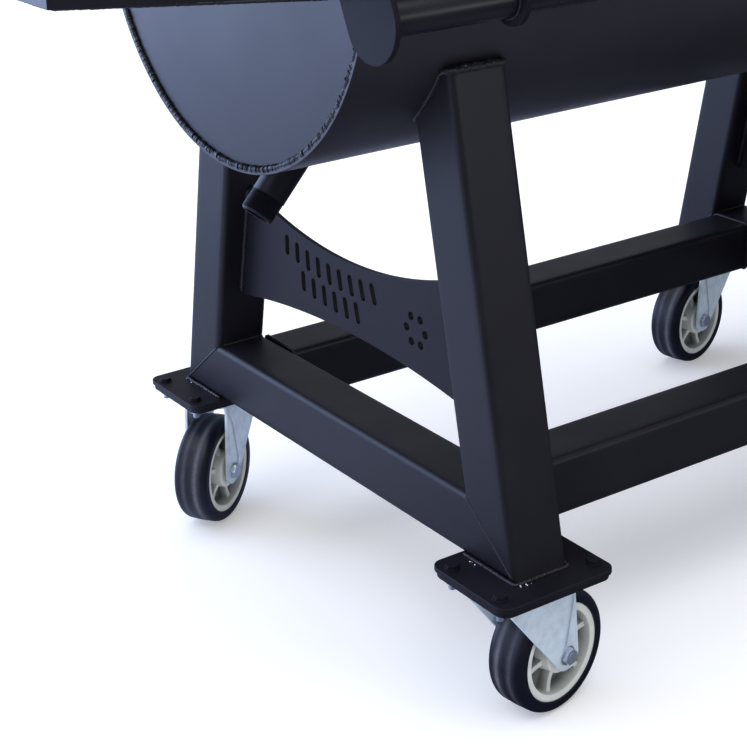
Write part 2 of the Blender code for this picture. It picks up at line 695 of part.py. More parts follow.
def make_gussets():
    """Plates between each pair of legs; the left one has a pattern of slots."""
    for side, x in (("left", FRAME_LEFT + TUBE / 2), ("right", FRAME_RIGHT - TUBE / 2)):
        gusset = flat_plate("gusset_plate_" + side, gusset_outline(), PLATE, BLACK_PAINT, x)
        if side == "left":
            cut_slots(gusset, x)


def cut_slots(gusset, x):
    rows = [(9, 9.45 * INCH, 0.75 * INCH), (6, 8.15 * INCH, 0.75 * INCH)]
    for row, (count, height, long) in enumerate(rows):
        for i in range(count):
            y = (1.6 - (i - (count - 1) / 2) * 0.95) * INCH
            hollow = y * y / (2 * GUSSET_TOP_RADIUS)
            slot = strap_outline([(0.0, -long / 2), (0.0, long / 2)], 0.17 * INCH, 3)
            name = "slot_cutter_" + str(row) + "_" + str(i)
            cutter = flat_plate(name, slot, INCH, None, x)
            cutter.location = (x, y, DECK_Z + height + hollow)
            cutter.rotation_euler = (y / GUSSET_TOP_RADIUS - 0.2, 0, 0)
            cut(gusset, cutter)
    for i in range(6):
        turn = math.tau * i / 6
        hole = rod("ring_hole_cutter", 0.2 * INCH, INCH, 8)
        y = -5.6 * INCH + 0.72 * INCH * math.cos(turn)
        z = DECK_Z + 8.75 * INCH + 0.72 * INCH * math.sin(turn)
        cut(gusset, place("ring_hole_cutter", hole, None, (x, y, z), (0, math.pi / 2, 0)))


# ---------------------------------------------------------------- the casters


def caster_place(sign_x, sign_y):
    x = FRAME_LEFT + CASTER_INSET_X if sign_x < 0 else FRAME_RIGHT - CASTER_INSET_X
    return x, sign_y * (FRAME_DEPTH / 2 - CASTER_INSET_Y)


def bolt_places():
    half_x, half_y = BOLT_SPACING[0] / 2, BOLT_SPACING[1] / 2
    return [(sx * half_x, sy * half_y) for sx in (-1, 1) for sy in (-1, 1)]


def make_base_plate(corner, x, y):
    """The plate welded under a leg, drilled for the caster's bolts."""
    name = "base_plate_" + corner
    mesh = block(name, BASE_PLATE, BASE_CORNER, 2)
    z = DECK_Z - GAP - BASE_PLATE[2] / 2
    plate = place(name, mesh, BLACK_PAINT, (x, y, z))
    for i, (dx, dy) in enumerate(bolt_places()):
        hole = rod(name + "_hole", BOLT_RADIUS + GAP, INCH, BOLT_SIDES)
        cut(plate, place(name + "_hole", hole, None, (x + dx, y + dy, z)))


def make_caster_plate(corner, x, y):
    """The caster's top plate, its four bolts and the swivel race under it."""
    name = "caster_plate_" + corner
    mesh = block(name, (6.25 * INCH, 5.1 * INCH, PLATE), BASE_CORNER, 2)
    z = DECK_Z - BASE_PLATE[2] - 2 * GAP - PLATE / 2
    plate = place(name, mesh, BLACK_PAINT, (x, y, z))
    race = rod(name + "_race", 1.35 * INCH, 0.3 * INCH, 16)
    weld_on(plate, place(name + "_race", race, None, (x, y, z - 0.19 * INCH)))
    head_z = DECK_Z + 0.11 * INCH
    nut_z = z - PLATE / 2 - 0.1 * INCH
    for dx, dy in bolt_places():
        shank = rod(name + "_shank", BOLT_RADIUS, 1.15 * INCH, BOLT_SIDES)
        weld_on(plate, place(name + "_shank", shank, None, (x + dx, y + dy, z + 0.02 * INCH)))
        head = rod(name + "_head", 0.32 * INCH, 0.2 * INCH, 6)
        weld_on(plate, place(name + "_head", head, None, (x + dx, y + dy, head_z)))
        nut = rod(name + "_nut", 0.32 * INCH, 0.22 * INCH, 6)
        weld_on(plate, place(name + "_nut", nut, None, (x + dx, y + dy, nut_z)))


def make_fork(corner, swivel):
    """Two tapered cheeks under a crown, trailing the swivel along local X."""
    name = "caster_fork_" + corner
    crown_z = 6.93 * INCH
    axle = Vector((TRAIL, WHEEL_RADIUS))
    crown = block(name, (3.9 * INCH, 2.56 * INCH, 0.16 * INCH))
    fork = place(name, crown, ZINC, (0.1 * INCH, 0, crown_z), parent=swivel)
    tip = 0.6 * INCH
    outline = [(-1.85 * INCH, crown_z), (-1.85 * INCH, crown_z - 0.35 * INCH)]
    outline += [
        (axle.x + tip * math.cos(turn), axle.y + tip * math.sin(turn))
        for turn in (math.radians(215 + 18 * i) for i in range(9))
    ]
    outline += [(2.05 * INCH, crown_z - 0.35 * INCH), (2.05 * INCH, crown_z)]
    for sign in (-1, 1):
        cheek = flat_plate(name + "_cheek", outline, 0.13 * INCH, None, 0)
        cheek.parent = swivel
        cheek.rotation_euler = (0, 0, -math.pi / 2)
        cheek.location = (0, sign * 1.21 * INCH, 0)
        weld_on(fork, cheek)
    hole = rod(name + "_hole", 0.25 * INCH + GAP, 4 * INCH, 16)
    cut(fork, place(name + "_hole", hole, None, (axle.x, 0, axle.y), (math.pi / 2, 0, 0), swivel))


def make_axle_bolt(corner, swivel):
    name = "axle_bolt_" + corner
    centre = (TRAIL, 0, WHEEL_RADIUS)
    turn = (math.pi / 2, 0, 0)
    bolt = place(name, rod(name, 0.25 * INCH, 3.1 * INCH, 16), ZINC, centre, turn, swivel)
    for sign in (-1, 1):
        head = rod(name + "_head", 0.42 * INCH, 0.3 * INCH, 6)
        at = (TRAIL, sign * 1.44 * INCH, WHEEL_RADIUS)
        weld_on(bolt, place(name + "_head", head, None, at, turn, swivel))


def make_wheel(corner, swivel):
    """A moulded core on the axle and the tread around it."""
    hub = axis_empty("wheel_axis_" + corner, (TRAIL, 0, WHEEL_RADIUS), (math.pi / 2, 0, 0), swivel)
    core = [(2.38, 0.92), (2.38, -0.92), (2.08, -0.92), (2.02, -0.2), (0.86, -0.2), (0.8, -1.0),
            (0.275, -1.0), (0.275, 1.0), (0.8, 1.0), (0.86, 0.2), (2.02, 0.2), (2.08, 0.92)]
    core = [(radius * INCH, height * INCH) for radius, height in core]
    turned("wheel_core_" + corner, core, CORE_PLASTIC, 20, closed=True, parent=hub)
    shoulder = [(WHEEL_RADIUS - 0.25 * INCH + 0.25 * INCH * math.sin(turn),
                 WHEEL_HALF - 0.25 * INCH + 0.25 * INCH * math.cos(turn))
                for turn in (0, math.pi / 4, math.pi / 2)]
    inner = 2.4 * INCH
    tread = [(inner, WHEEL_HALF), *shoulder]
    tread += [(radius, -height) for radius, height in reversed(tread)]
    turned("wheel_tread_" + corner, tread, TREAD, 28, closed=True, parent=hub)


def make_casters():
    for corner, (sign_x, sign_y, heading) in CASTERS.items():
        x, y = caster_place(sign_x, sign_y)
        make_base_plate(corner, x, y)
        make_caster_plate(corner, x, y)
        swivel = axis_empty("swivel_axis_" + corner, (x, y, 0), (0, 0, math.radians(heading)))
        make_fork(corner, swivel)
        make_axle_bolt(corner, swivel)
        make_wheel(corner, swivel)


# ---------------------------------------------------------------- the firebox


def make_firebox_body():
    """A plate box, open at the door end, with the smoke passage in its other end."""
    name = "firebox_body"
    size = (FIREBOX_LENGTH, FIREBOX_WIDTH, FIREBOX_TOP - FIREBOX_BOTTOM)
    mesh = block(name, size, open_ends=lambda n: n.x > 0.5)
    centre = (FIREBOX_LEFT + FIREBOX_LENGTH / 2, 0, FIREBOX_MID_Z)
    body = thicken(place(name, mesh, BLACK_PAINT, centre), PLATE)
    width, low, high = FIRE_PASSAGE
    hole = block("firebox_passage_cutter", (2 * INCH, width, high - low))
    cut(body, place("firebox_passage_cutter", hole, None, (FIREBOX_LEFT, 0, (low + high) / 2)))
    weld_on_keeper(body)
    size = (FIREBOX_LENGTH - 1.0 * INCH, FIREBOX_WIDTH - 0.8 * INCH)
    grate_at = (centre[0], 0, FIREBOX_BOTTOM + 3.5 * INCH)
    make_grate("firebox_grate", grate_at, size, 12, 0.5 * INCH)


def door_hinge_heights():
    return FIREBOX_MID_Z - 6 * INCH, FIREBOX_MID_Z + 6 * INCH


def make_firebox_door():
    """The end door with its hinge eyes and a ring of air holes."""
    axis = axis_empty("firebox_door_axis", (DOOR_HINGE_X, DOOR_HINGE_Y, 0))
    name = "firebox_door"
    mesh = block(name, (PLATE, DOOR_SIZE, DOOR_SIZE))
    plate_at = (DOOR_X - DOOR_HINGE_X, -DOOR_HINGE_Y, FIREBOX_MID_Z)
    door = place(name, mesh, BLACK_PAINT, plate_at, parent=axis)
    for z in door_hinge_heights():
        arm = block(name + "_arm", (0.3 * INCH, 0.9 * INCH, 1.0 * INCH))
        weld_on(door, place(name + "_arm", arm, None, (-0.2 * INCH, -0.6 * INCH, z), parent=axis))
        eye = rod(name + "_eye", KNUCKLE_RADIUS, 1.0 * INCH, 16)
        weld_on(door, place(name + "_eye", eye, None, (0, 0, z), parent=axis))
        bore = rod(name + "_bore", HINGE_PIN_RADIUS + GAP, 2 * INCH, 16)
        cut(door, place(name + "_bore", bore, None, (0, 0, z), parent=axis))
    for i in range(3):
        hole = rod(name + "_air", AIR_HOLE_RADIUS, 2 * INCH, 16)
        at = damper_hole(i, DOOR_X - DOOR_HINGE_X, -DOOR_HINGE_Y, DAMPER_Z)
        cut(door, place(name + "_air", hole, None, at, (0, math.pi / 2, 0), axis))
    stud_hole = rod(name + "_stud", STUD_RADIUS + GAP, 2 * INCH, 12)
    for y, z in ((0, DAMPER_Z), (LATCH_Y, FIREBOX_MID_Z)):
        at = (plate_at[0], y - DOOR_HINGE_Y, z)
        cut(door, place(name + "_stud", stud_hole, None, at, (0, math.pi / 2, 0), axis))
    make_door_hinges()
    make_air_damper(axis)
    make_door_latch(axis)


def damper_hole(i, x, y, z):
    turn = math.tau * i / 3 + math.pi / 2
    return x, y + AIR_HOLE_CIRCLE * math.cos(turn), z + AIR_HOLE_CIRCLE * math.sin(turn)


def make_door_hinges():
    """A leaf on the firebox's rear wall with a pin up through the door's eye."""
    for side, z in zip(("lower", "upper"), door_hinge_heights()):
        name = "door_hinge_" + side
        leaf = block(name, (2.2 * INCH, 0.25 * INCH, 0.8 * INCH))
        leaf_y = FIREBOX_WIDTH / 2 + GAP + 0.125 * INCH
        low = z - 1.0 * INCH
        hinge = place(name, leaf, BLACK_PAINT, (DOOR_HINGE_X - 1.7 * INCH, leaf_y, low))
        web = block(name + "_web", (1.2 * INCH, 0.5 * INCH, 0.6 * INCH))
        web_at = (DOOR_HINGE_X - 0.75 * INCH, DOOR_HINGE_Y - 0.2 * INCH, low)
        weld_on(hinge, place(name + "_web", web, None, web_at))
        knuckle = rod(name + "_knuckle", KNUCKLE_RADIUS, 0.96 * INCH, 16)
        weld_on(hinge, place(name + "_knuckle", knuckle, None, (DOOR_HINGE_X, DOOR_HINGE_Y, low)))
        pin = rod(name + "_pin", HINGE_PIN_RADIUS, 1.7 * INCH, 16)
        pin_at = (DOOR_HINGE_X, DOOR_HINGE_Y, z - 0.25 * INCH)
        weld_on(hinge, place(name + "_pin", pin, None, pin_at))


def make_air_damper(door_axis):
    """A pierced disc on the door that turns to cover its air holes."""
    face_x = DOOR_X + PLATE / 2 + GAP - DOOR_HINGE_X
    stud = axis_empty("air_damper_axis", (face_x, -DOOR_HINGE_Y, DAMPER_Z), parent=door_axis)
    thickness = 0.16 * INCH
    turn = (0, math.pi / 2, 0)
    disc = rod("air_damper", DAMPER_RADIUS, thickness, 32)
    damper = place("air_damper", disc, BLACK_PAINT, (thickness / 2, 0, 0), turn, stud)
    for i in range(3):
        hole = rod("air_damper_hole", AIR_HOLE_RADIUS, 2 * INCH, 16)
        cut(damper, place("air_damper_hole", hole, None, damper_hole(i, 0, 0, 0), turn, stud))
    pin = rod("air_damper_pin", STUD_RADIUS, 1.0 * INCH, 12)
    weld_on(damper, place("air_damper_pin", pin, None, (0, 0, 0), turn, stud))
    knob = rod("air_damper_knob", 0.3 * INCH, 1.1 * INCH, 16)
    weld_on(damper, place("air_damper_knob", knob, None, (0.6 * INCH, 0, -3.2 * INCH), turn, stud))


def make_door_latch(door_axis):
    """A bar on a stud: tongue up and grip down when free, level when shut."""
    face_x = DOOR_X + PLATE / 2 + GAP - DOOR_HINGE_X
    stud_at = (face_x, LATCH_Y - DOOR_HINGE_Y, FIREBOX_MID_Z)
    stud = axis_empty("door_latch_axis", stud_at, parent=door_axis)
    bar_x = 0.16 * INCH
    bar = block("door_latch", (0.25 * INCH, 0.9 * INCH, 6.6 * INCH), 0.1 * INCH, 0)
    latch = place("door_latch", bar, BLACK_PAINT, (bar_x, 0, -0.9 * INCH), parent=stud)
    turn = (0, math.pi / 2, 0)
    pin = rod("door_latch_pin", STUD_RADIUS, 1.0 * INCH, 12)
    weld_on(latch, place("door_latch_pin", pin, None, (0, 0, 0), turn, stud))
    reach = RIGHT_END - DOOR_HINGE_X - face_x
    grip = rod("door_latch_grip", 0.45 * INCH, reach - bar_x, 20)
    grip_at = ((reach + bar_x) / 2, 0, -3.7 * INCH)
    weld_on(latch, place("door_latch_grip", grip, None, grip_at, turn, stud))


def weld_on_keeper(body):
    """A hook on the firebox's front wall, open at the top, that the tongue drops into."""
    name = "latch_keeper"
    wall_y = -FIREBOX_WIDTH / 2 - GAP
    lip_x = DOOR_X + PLATE / 2 + 0.45 * INCH
    back = FIREBOX_RIGHT - 1.5 * INCH
    arm = block(name, (lip_x + 0.12 * INCH - back, 0.2 * INCH, 1.2 * INCH))
    arm_y = wall_y - 0.45 * INCH
    arm_at = ((lip_x + 0.12 * INCH + back) / 2, arm_y, KEEPER_Z)
    foot = block(name + "_foot", (1.2 * INCH, 0.6 * INCH, 1.0 * INCH))
    foot_at = (back + 0.6 * INCH, wall_y - 0.22 * INCH, KEEPER_Z)
    lip = block(name + "_lip", (0.23 * INCH, 0.9 * INCH, 2.2 * INCH))
    lip_at = (lip_x, wall_y - 0.8 * INCH, KEEPER_Z + 0.5 * INCH)
    for part, mesh, at in (("_foot", foot, foot_at), ("_arm", arm, arm_at), ("_lip", lip, lip_at)):
        weld_on(body, place(name + part, mesh, None, at))


make_chamber_shell()
make_drain_nipple()
make_end_plates()
make_smoke_collector()
make_chimney()
make_cooking_grates()
make_lid()
make_hinge_bearings()
make_legs()
make_rails()
make_gussets()
make_casters()
make_firebox_body()
make_firebox_door()
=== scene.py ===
"""An offset smoker in welded steel plate: a round cook chamber with a tapered smoke
collector and chimney at one end and a firebox at the other, on an A-frame of square
tube with four swivel casters. Metres, +Z up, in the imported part's own frame."""

import json
import math
import random

import bmesh
import bpy
from mathutils import Matrix, Vector


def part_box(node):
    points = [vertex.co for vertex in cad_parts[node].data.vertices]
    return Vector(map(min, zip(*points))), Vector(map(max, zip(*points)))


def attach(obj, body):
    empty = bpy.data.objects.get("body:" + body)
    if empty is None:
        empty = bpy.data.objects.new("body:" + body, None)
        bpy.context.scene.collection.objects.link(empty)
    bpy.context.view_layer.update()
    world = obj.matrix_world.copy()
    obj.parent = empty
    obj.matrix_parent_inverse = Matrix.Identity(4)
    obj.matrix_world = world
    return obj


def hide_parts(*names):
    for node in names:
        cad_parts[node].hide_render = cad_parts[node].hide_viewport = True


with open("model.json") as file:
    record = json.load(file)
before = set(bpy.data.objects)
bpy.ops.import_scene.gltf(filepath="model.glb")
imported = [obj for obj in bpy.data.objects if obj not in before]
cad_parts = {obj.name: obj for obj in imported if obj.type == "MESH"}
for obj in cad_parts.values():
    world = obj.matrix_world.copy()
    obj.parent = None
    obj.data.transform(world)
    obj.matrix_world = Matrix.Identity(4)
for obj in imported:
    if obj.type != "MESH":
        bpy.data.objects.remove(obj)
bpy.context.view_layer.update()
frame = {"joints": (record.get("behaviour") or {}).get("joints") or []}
inch = 0.0254

# ---------------------------------------------------------------- the studio
# A pale floor in a bright white room, a wide soft light behind the collector end,
# one overhead and a weaker one in front, and a long lens low to the left.


def stand(name, data):
    """An object with this data, linked into the scene."""
    made = bpy.data.objects.new(name, data)
    bpy.context.scene.collection.objects.link(made)
    return made


def softbox(name, place, target, width, height, watts, tint):
    light = bpy.data.lights.new(name, "AREA")
    light.shape = "RECTANGLE"
    light.size, light.size_y = width, height
    light.energy = watts
    light.color = tint
    lamp = stand(name, light)
    lamp.location = place
    lamp.rotation_euler = (Vector(target) - Vector(place)).to_track_quat("-Z", "Y").to_euler()
    lamp.visible_camera = False


def stand_camera(place, azimuth, elevation, roll, lens, shift):
    turn, tip, lean = (math.radians(angle) for angle in (azimuth, elevation, roll))
    ahead = Vector((-math.sin(turn) * math.cos(tip), math.cos(turn) * math.cos(tip),
                    -math.sin(tip)))
    right = ahead.cross(Vector((0, 0, 1))).normalized()
    over = right.cross(ahead)
    tilted_right = math.cos(lean) * right + math.sin(lean) * over
    tilted_over = math.cos(lean) * over - math.sin(lean) * right
    camera = stand("camera", bpy.data.cameras.new("camera"))
    camera.data.lens = lens
    camera.data.shift_x, camera.data.shift_y = shift
    turned = Matrix((tilted_right, tilted_over, -ahead)).transposed()
    camera.matrix_world = Matrix.Translation(place) @ turned.to_4x4()
    bpy.context.scene.camera = camera


def put(tree, kind, settings=None, **sockets):
    """Add a node, set its options, and link or fill its sockets by name."""
    made = tree.nodes.new(kind)
    for option, value in (settings or {}).items():
        setattr(made, option, value)
    for label, value in sockets.items():
        number = label[1:] if label[0] == "n" and label[1:].isdigit() else None
        socket = made.inputs[int(number) if number else label.replace("_", " ")]
        if isinstance(value, bpy.types.NodeSocket):
            tree.links.new(value, socket)
        else:
            socket.default_value = value
    return made


def spread(tree, value, low, high, new_low=0.0, new_high=1.0):
    """Stretch a value that runs from low to high so that it fills a new range."""
    made = put(tree, "ShaderNodeMapRange", Value=value, From_Min=low, From_Max=high,
               To_Min=new_low, To_Max=new_high)
    return made.outputs["Result"]


def choose(tree, factor, first, second):
    """Show the second shader where the factor is one, the first elsewhere."""
    blend = put(tree, "ShaderNodeMixShader", Fac=factor, n1=first, n2=second)
    output = next(node for node in tree.nodes if node.bl_idname.startswith("ShaderNodeOutput"))
    tree.links.new(blend.outputs[0], output.inputs["Surface"])


stand_camera((-1.77998, -1.68991, 1.17647), -32.770, 19.548, -2.062, 84.454, (0.06, -0.14))
softbox("back_light", (-2.7, 3.0, 1.25), (-0.6, 0.0, 0.7), 3.2, 2.4, 118, (0.48, 0.62, 1.0))
softbox("left_light", (-4.4, -0.2, 1.8), (-0.6, 0.0, 0.6), 2.2, 1.8, 19, (0.68, 0.74, 1.0))
softbox("front_light", (1.6, -4.2, 1.6), (-0.3, -0.2, 0.3), 2.0, 1.2, 20, (0.92, 0.96, 1.0))
overhead = bpy.data.lights.new("overhead", "SUN")
overhead.energy = 2.1
overhead.angle = math.radians(70)
overhead_lamp = stand("overhead", overhead)
overhead_lamp.rotation_euler = (math.radians(8), math.radians(-10), 0)

floor_mesh = bpy.data.meshes.new("floor")
floor_bm = bmesh.new()
bmesh.ops.create_grid(floor_bm, x_segments=2, y_segments=2, size=30.0)
floor_bm.to_mesh(floor_mesh)
floor_bm.free()
floor = stand("floor", floor_mesh)
floor_paint = bpy.data.materials.new("pale_floor")
floor_paint.use_nodes = True
floor_tree = floor_paint.node_tree
floor_shader = floor_tree.nodes["Principled BSDF"]
floor_shader.inputs["Roughness"].default_value = 0.7
floor_shader.inputs["Specular IOR Level"].default_value = 0.2
floor_shader.inputs["Emission Color"].default_value = (1, 1, 1, 1)
floor_shader.inputs["Emission Strength"].default_value = 0.30
floor_cloud = put(floor_tree, "ShaderNodeTexNoise", Scale=0.8, Detail=3.0)
floor_tone = put(floor_tree, "ShaderNodeValToRGB", Fac=floor_cloud.outputs["Fac"])
floor_tone.color_ramp.elements[0].color = (0.86, 0.86, 0.86, 1)
floor_tone.color_ramp.elements[1].color = (0.90, 0.90, 0.90, 1)
floor_tree.links.new(floor_tone.outputs["Color"], floor_shader.inputs["Base Color"])
# What reflections see of the floor is painted light and shade by place, not the floor's colour:
# dark to the front and right, a dark painted shadow band under the smoker, and bright bluish bands
# behind it to the left.
floor_place = put(floor_tree, "ShaderNodeTexCoord").outputs["Object"]
floor_lean = put(floor_tree, "ShaderNodeVectorMath", {"operation": "DOT_PRODUCT"}, n0=floor_place,
                 n1=(-0.5, 1.2, 0.0))
floor_fade = spread(floor_tree, floor_lean.outputs["Value"], -2.0, 3.0)
floor_painted_light = put(floor_tree, "ShaderNodeValToRGB", Fac=floor_fade)
floor_painted_light.color_ramp.elements[0].color = (0.06, 0.06, 0.08, 1)
floor_painted_light.color_ramp.elements[1].color = (0.62, 0.68, 0.86, 1)
for place, grey in ((0.17, 0.17), (0.38, 0.07), (0.61, 0.80), (0.75, 0.38), (0.84, 0.60)):
    floor_painted_light.color_ramp.elements.new(place).color = (grey, grey * 1.08, grey * 1.38, 1)
floor_painted_reflection = put(floor_tree, "ShaderNodeBsdfDiffuse", Color=floor_painted_light.outputs["Color"])
floor_ray = put(floor_tree, "ShaderNodeLightPath")
choose(floor_tree, floor_ray.outputs["Is Glossy Ray"], floor_shader.outputs[0],
       floor_painted_reflection.outputs[0])
floor_mesh.materials.append(floor_paint)

world = bpy.data.worlds.new("white_room")
world.use_nodes = True
world_tree = world.node_tree
sky = world_tree.nodes["Background"]
sky.inputs["Color"].default_value = (0.84, 0.89, 1.0, 1)
sky.inputs["Strength"].default_value = 0.40
seen_sky = put(world_tree, "ShaderNodeBackground", Color=(1, 1, 1, 1), Strength=1.0)
from_camera = put(world_tree, "ShaderNodeLightPath")
choose(world_tree, from_camera.outputs["Is Camera Ray"], sky.outputs[0], seen_sky.outputs[0])
bpy.context.scene.world = world
bpy.context.scene.view_settings.view_transform = "Standard"

# ---------------------------------------------------------- the cook chamber
# A length of 1/4 in rolled pipe with a doorway cut in its upper front. The paint
# is satin high-heat black outside; inside it is dull with smoke.


def open_group(name, inputs, outputs):
    group = bpy.data.node_groups.new(name, "ShaderNodeTree")
    for label, kind, value in inputs:
        group.interface.new_socket(label, in_out="INPUT", socket_type=kind).default_value = value
    for label, kind in outputs:
        group.interface.new_socket(label, in_out="OUTPUT", socket_type=kind)
    return group, group.nodes.new("NodeGroupInput"), group.nodes.new("NodeGroupOutput")


def worked_out(tree, operation, first, second=0.0, clamp=False):
    options = {"operation": operation, "use_clamp": clamp}
    return put(tree, "ShaderNodeMath", options, n0=first, n1=second).outputs[0]


def mixed_colour(tree, factor, first, second):
    options = {"data_type": "RGBA"}
    return put(tree, "ShaderNodeMix", options, n0=factor, n6=first, n7=second).outputs[2]


def noise(tree, where, scale, detail, roughness=0.5):
    made = put(tree, "ShaderNodeTexNoise", Vector=where, Scale=scale, Detail=detail,
               Roughness=roughness)
    return made.outputs["Fac"]


def new_finish(name, **fixed):
    """A material, its node tree and object positions; fixed values go to the shader."""
    finish = bpy.data.materials.new(name)
    finish.use_nodes = True
    shader = finish.node_tree.nodes["Principled BSDF"]
    for label, value in fixed.items():
        shader.inputs[label].default_value = value
    where = put(finish.node_tree, "ShaderNodeTexCoord").outputs["Object"]
    return finish, finish.node_tree, where


def feed(tree, colour, gloss, height=None, bump=0.0, depth=0.0):
    """Link a colour, a roughness and a bump of some depth to the tree's shader."""
    shader = tree.nodes["Principled BSDF"]
    tree.links.new(colour, shader.inputs["Base Color"])
    tree.links.new(gloss, shader.inputs["Roughness"])
    if height is not None:
        lump = put(tree, "ShaderNodeBump", Height=height, Strength=bump, Distance=depth)
        tree.links.new(lump.outputs["Normal"], shader.inputs["Normal"])


# Sprayed skin: fine orange peel over a slow unevenness in how dry it was sprayed.
sprayed_skin, skin_in, skin_out = open_group(
    "sprayed_skin",
    [("Position", "NodeSocketVector", (0, 0, 0)), ("Grain", "NodeSocketFloat", 900.0),
     ("Patches", "NodeSocketFloat", 9.0)],
    [("Height", "NodeSocketFloat"), ("Dry", "NodeSocketFloat")])
peel = noise(sprayed_skin, skin_in.outputs["Position"], skin_in.outputs["Grain"], 2.0, 0.55)
wave = noise(sprayed_skin, skin_in.outputs["Position"], skin_in.outputs["Patches"], 4.0, 0.6)
slow = worked_out(sprayed_skin, "MULTIPLY", wave, 1.6)
sprayed_skin.links.new(worked_out(sprayed_skin, "ADD", peel, slow), skin_out.inputs["Height"])
sprayed_skin.links.new(spread(sprayed_skin, wave, 0.3, 0.7), skin_out.inputs["Dry"])

# Shop dust: sparse pale specks and a thin film where the broad noise is high.
shop_dust, dust_in, dust_out = open_group(
    "shop_dust",
    [("Position", "NodeSocketVector", (0, 0, 0)), ("Specks", "NodeSocketFloat", 260.0),
     ("Amount", "NodeSocketFloat", 0.3)],
    [("Mask", "NodeSocketFloat")])
cells = put(shop_dust, "ShaderNodeTexVoronoi", Vector=dust_in.outputs["Position"],
            Scale=dust_in.outputs["Specks"], Randomness=1.0)
film = noise(shop_dust, dust_in.outputs["Position"], 3.5, 5.0)
specks = spread(shop_dust, cells.outputs["Distance"], 0.10, 0.03)
haze = spread(shop_dust, film, 0.45, 0.75, 0.0, 0.6)
both = worked_out(shop_dust, "MULTIPLY", specks, haze)
both = worked_out(shop_dust, "ADD", both, worked_out(shop_dust, "MULTIPLY", haze, 0.25))
both = worked_out(shop_dust, "MULTIPLY", both, dust_in.outputs["Amount"], clamp=True)
shop_dust.links.new(both, dust_out.inputs["Mask"])


def satin_black(name, rough=0.40, colour=(0.0066, 0.0060, 0.0102), grain=900.0, bump=0.06,
                dust=0.06, ior=1.40):
    """High-heat black sprayed on steel, with a bluish sheen at a low angle."""
    paint, tree, where = new_finish(name, IOR=ior)
    skin = put(tree, "ShaderNodeGroup", {"node_tree": sprayed_skin}, Position=where, Grain=grain)
    dusty = put(tree, "ShaderNodeGroup", {"node_tree": shop_dust}, Position=where, Amount=dust)
    pale = tuple(channel * 1.35 for channel in colour)
    coat = mixed_colour(tree, skin.outputs["Dry"], (*colour, 1), (*pale, 1))
    coat = mixed_colour(tree, dusty.outputs["Mask"], coat, (0.16, 0.16, 0.17, 1))
    gloss = spread(tree, skin.outputs["Dry"], 0.0, 1.0, rough - 0.04, rough + 0.06)
    feed(tree, coat, gloss, skin.outputs["Height"], bump, 0.0006)
    return paint


def as_mesh(name, bm):
    """Turn a bmesh into mesh data with its faces looking outwards."""
    mesh = bpy.data.meshes.new(name)
    bmesh.ops.recalc_face_normals(bm, faces=bm.faces)
    bm.to_mesh(mesh)
    bm.free()
    return mesh


def round_off(piece, width, segments=2, angle=38):
    """Shade a piece smooth between its sharp edges, and round those edges."""
    piece.data.shade_smooth()
    piece.data.set_sharp_from_angle(angle=math.radians(angle))
    if not width:
        return
    rounding = piece.modifiers.new("rounded_edges", "BEVEL")
    rounding.width = width
    rounding.segments = segments
    rounding.limit_method = "ANGLE"
    rounding.angle_limit = math.radians(angle)
    rounding.harden_normals = True


def finish_piece(name, bm, finishes, body, *stands_for, edge=0.0, segments=2, angle=38,
                 slot="black_paint"):
    """Turn a bmesh into a piece on its body, its edges rounded and shaded smooth."""
    piece = stand(name, as_mesh(name, bm))
    for finish in finishes if isinstance(finishes, (list, tuple)) else [finishes]:
        piece.data.materials.append(finish)
    round_off(piece, edge, segments, angle)
    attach(piece, body)
    if stands_for:
        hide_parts(*stands_for)
    return piece


def rolled_plate(bm, x_stations, angles, outer, wall, axis_z, closed=False, missing=None):
    """Rolled plate round the X axis; angles run from the front, up and over."""
    rings = []
    for radius in (outer, outer - wall):
        turns = [math.radians(angle) for angle in angles]
        arc = [(-radius * math.cos(turn), axis_z + radius * math.sin(turn)) for turn in turns]
        rings.append([[bm.verts.new((x, y, z)) for y, z in arc] for x in x_stations])
    count = len(angles) if closed else len(angles) - 1
    last = len(x_stations) - 1

    def kept(i, j):
        inside = 0 <= i < last and (closed or 0 <= j < count)
        return inside and not (missing and missing(i, j % len(angles)))

    for i in range(last):
        for j in range(count):
            if not kept(i, j):
                continue
            k = (j + 1) % len(angles)
            outside, inside = rings
            bm.faces.new((outside[i][j], outside[i][k], outside[i + 1][k], outside[i + 1][j]))
            back = bm.faces.new((inside[i][j], inside[i + 1][j], inside[i + 1][k], inside[i][k]))
            back.material_index = 1
            sides = [((i, j), (i + 1, j), (i, j - 1)), ((i, k), (i + 1, k), (i, j + 1)),
                     ((i, j), (i, k), (i - 1, j)), ((i + 1, j), (i + 1, k), (i + 1, j))]
            for (a, b), (c, d), beyond in sides:
                if not kept(*beyond):
                    bm.faces.new((outside[a][b], outside[c][d], inside[c][d], inside[a][b]))
    bmesh.ops.delete(bm, geom=[v for v in bm.verts if not v.link_faces], context="VERTS")


chamber_low, chamber_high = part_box("cook_chamber_shell")
chamber_radius = (chamber_high.y - chamber_low.y) / 2
chamber_axis = (chamber_high.z + chamber_low.z) / 2
chamber_mid = (chamber_high.x + chamber_low.x) / 2
plate = 0.25 * inch
doorway = (6.0, 112.0)
doorway_half = 21.0 * inch
# The chamber's copy of the satin black is paler than the rest: painted light, lifting the barrel's
# tone where the lamps leave it dark.
lit_chamber_paint = satin_black("lit_chamber_paint", rough=0.42, colour=(0.0105, 0.0100, 0.0152), ior=1.60)
smoked_steel = satin_black("smoked_steel", rough=0.62, colour=(0.030, 0.022, 0.015), dust=0.1,
                           bump=0.3)

chamber_angles = sorted({*doorway, *(2.5 * i for i in range(144))})
stations = [chamber_low.x, chamber_mid - doorway_half, chamber_mid + doorway_half, chamber_high.x]


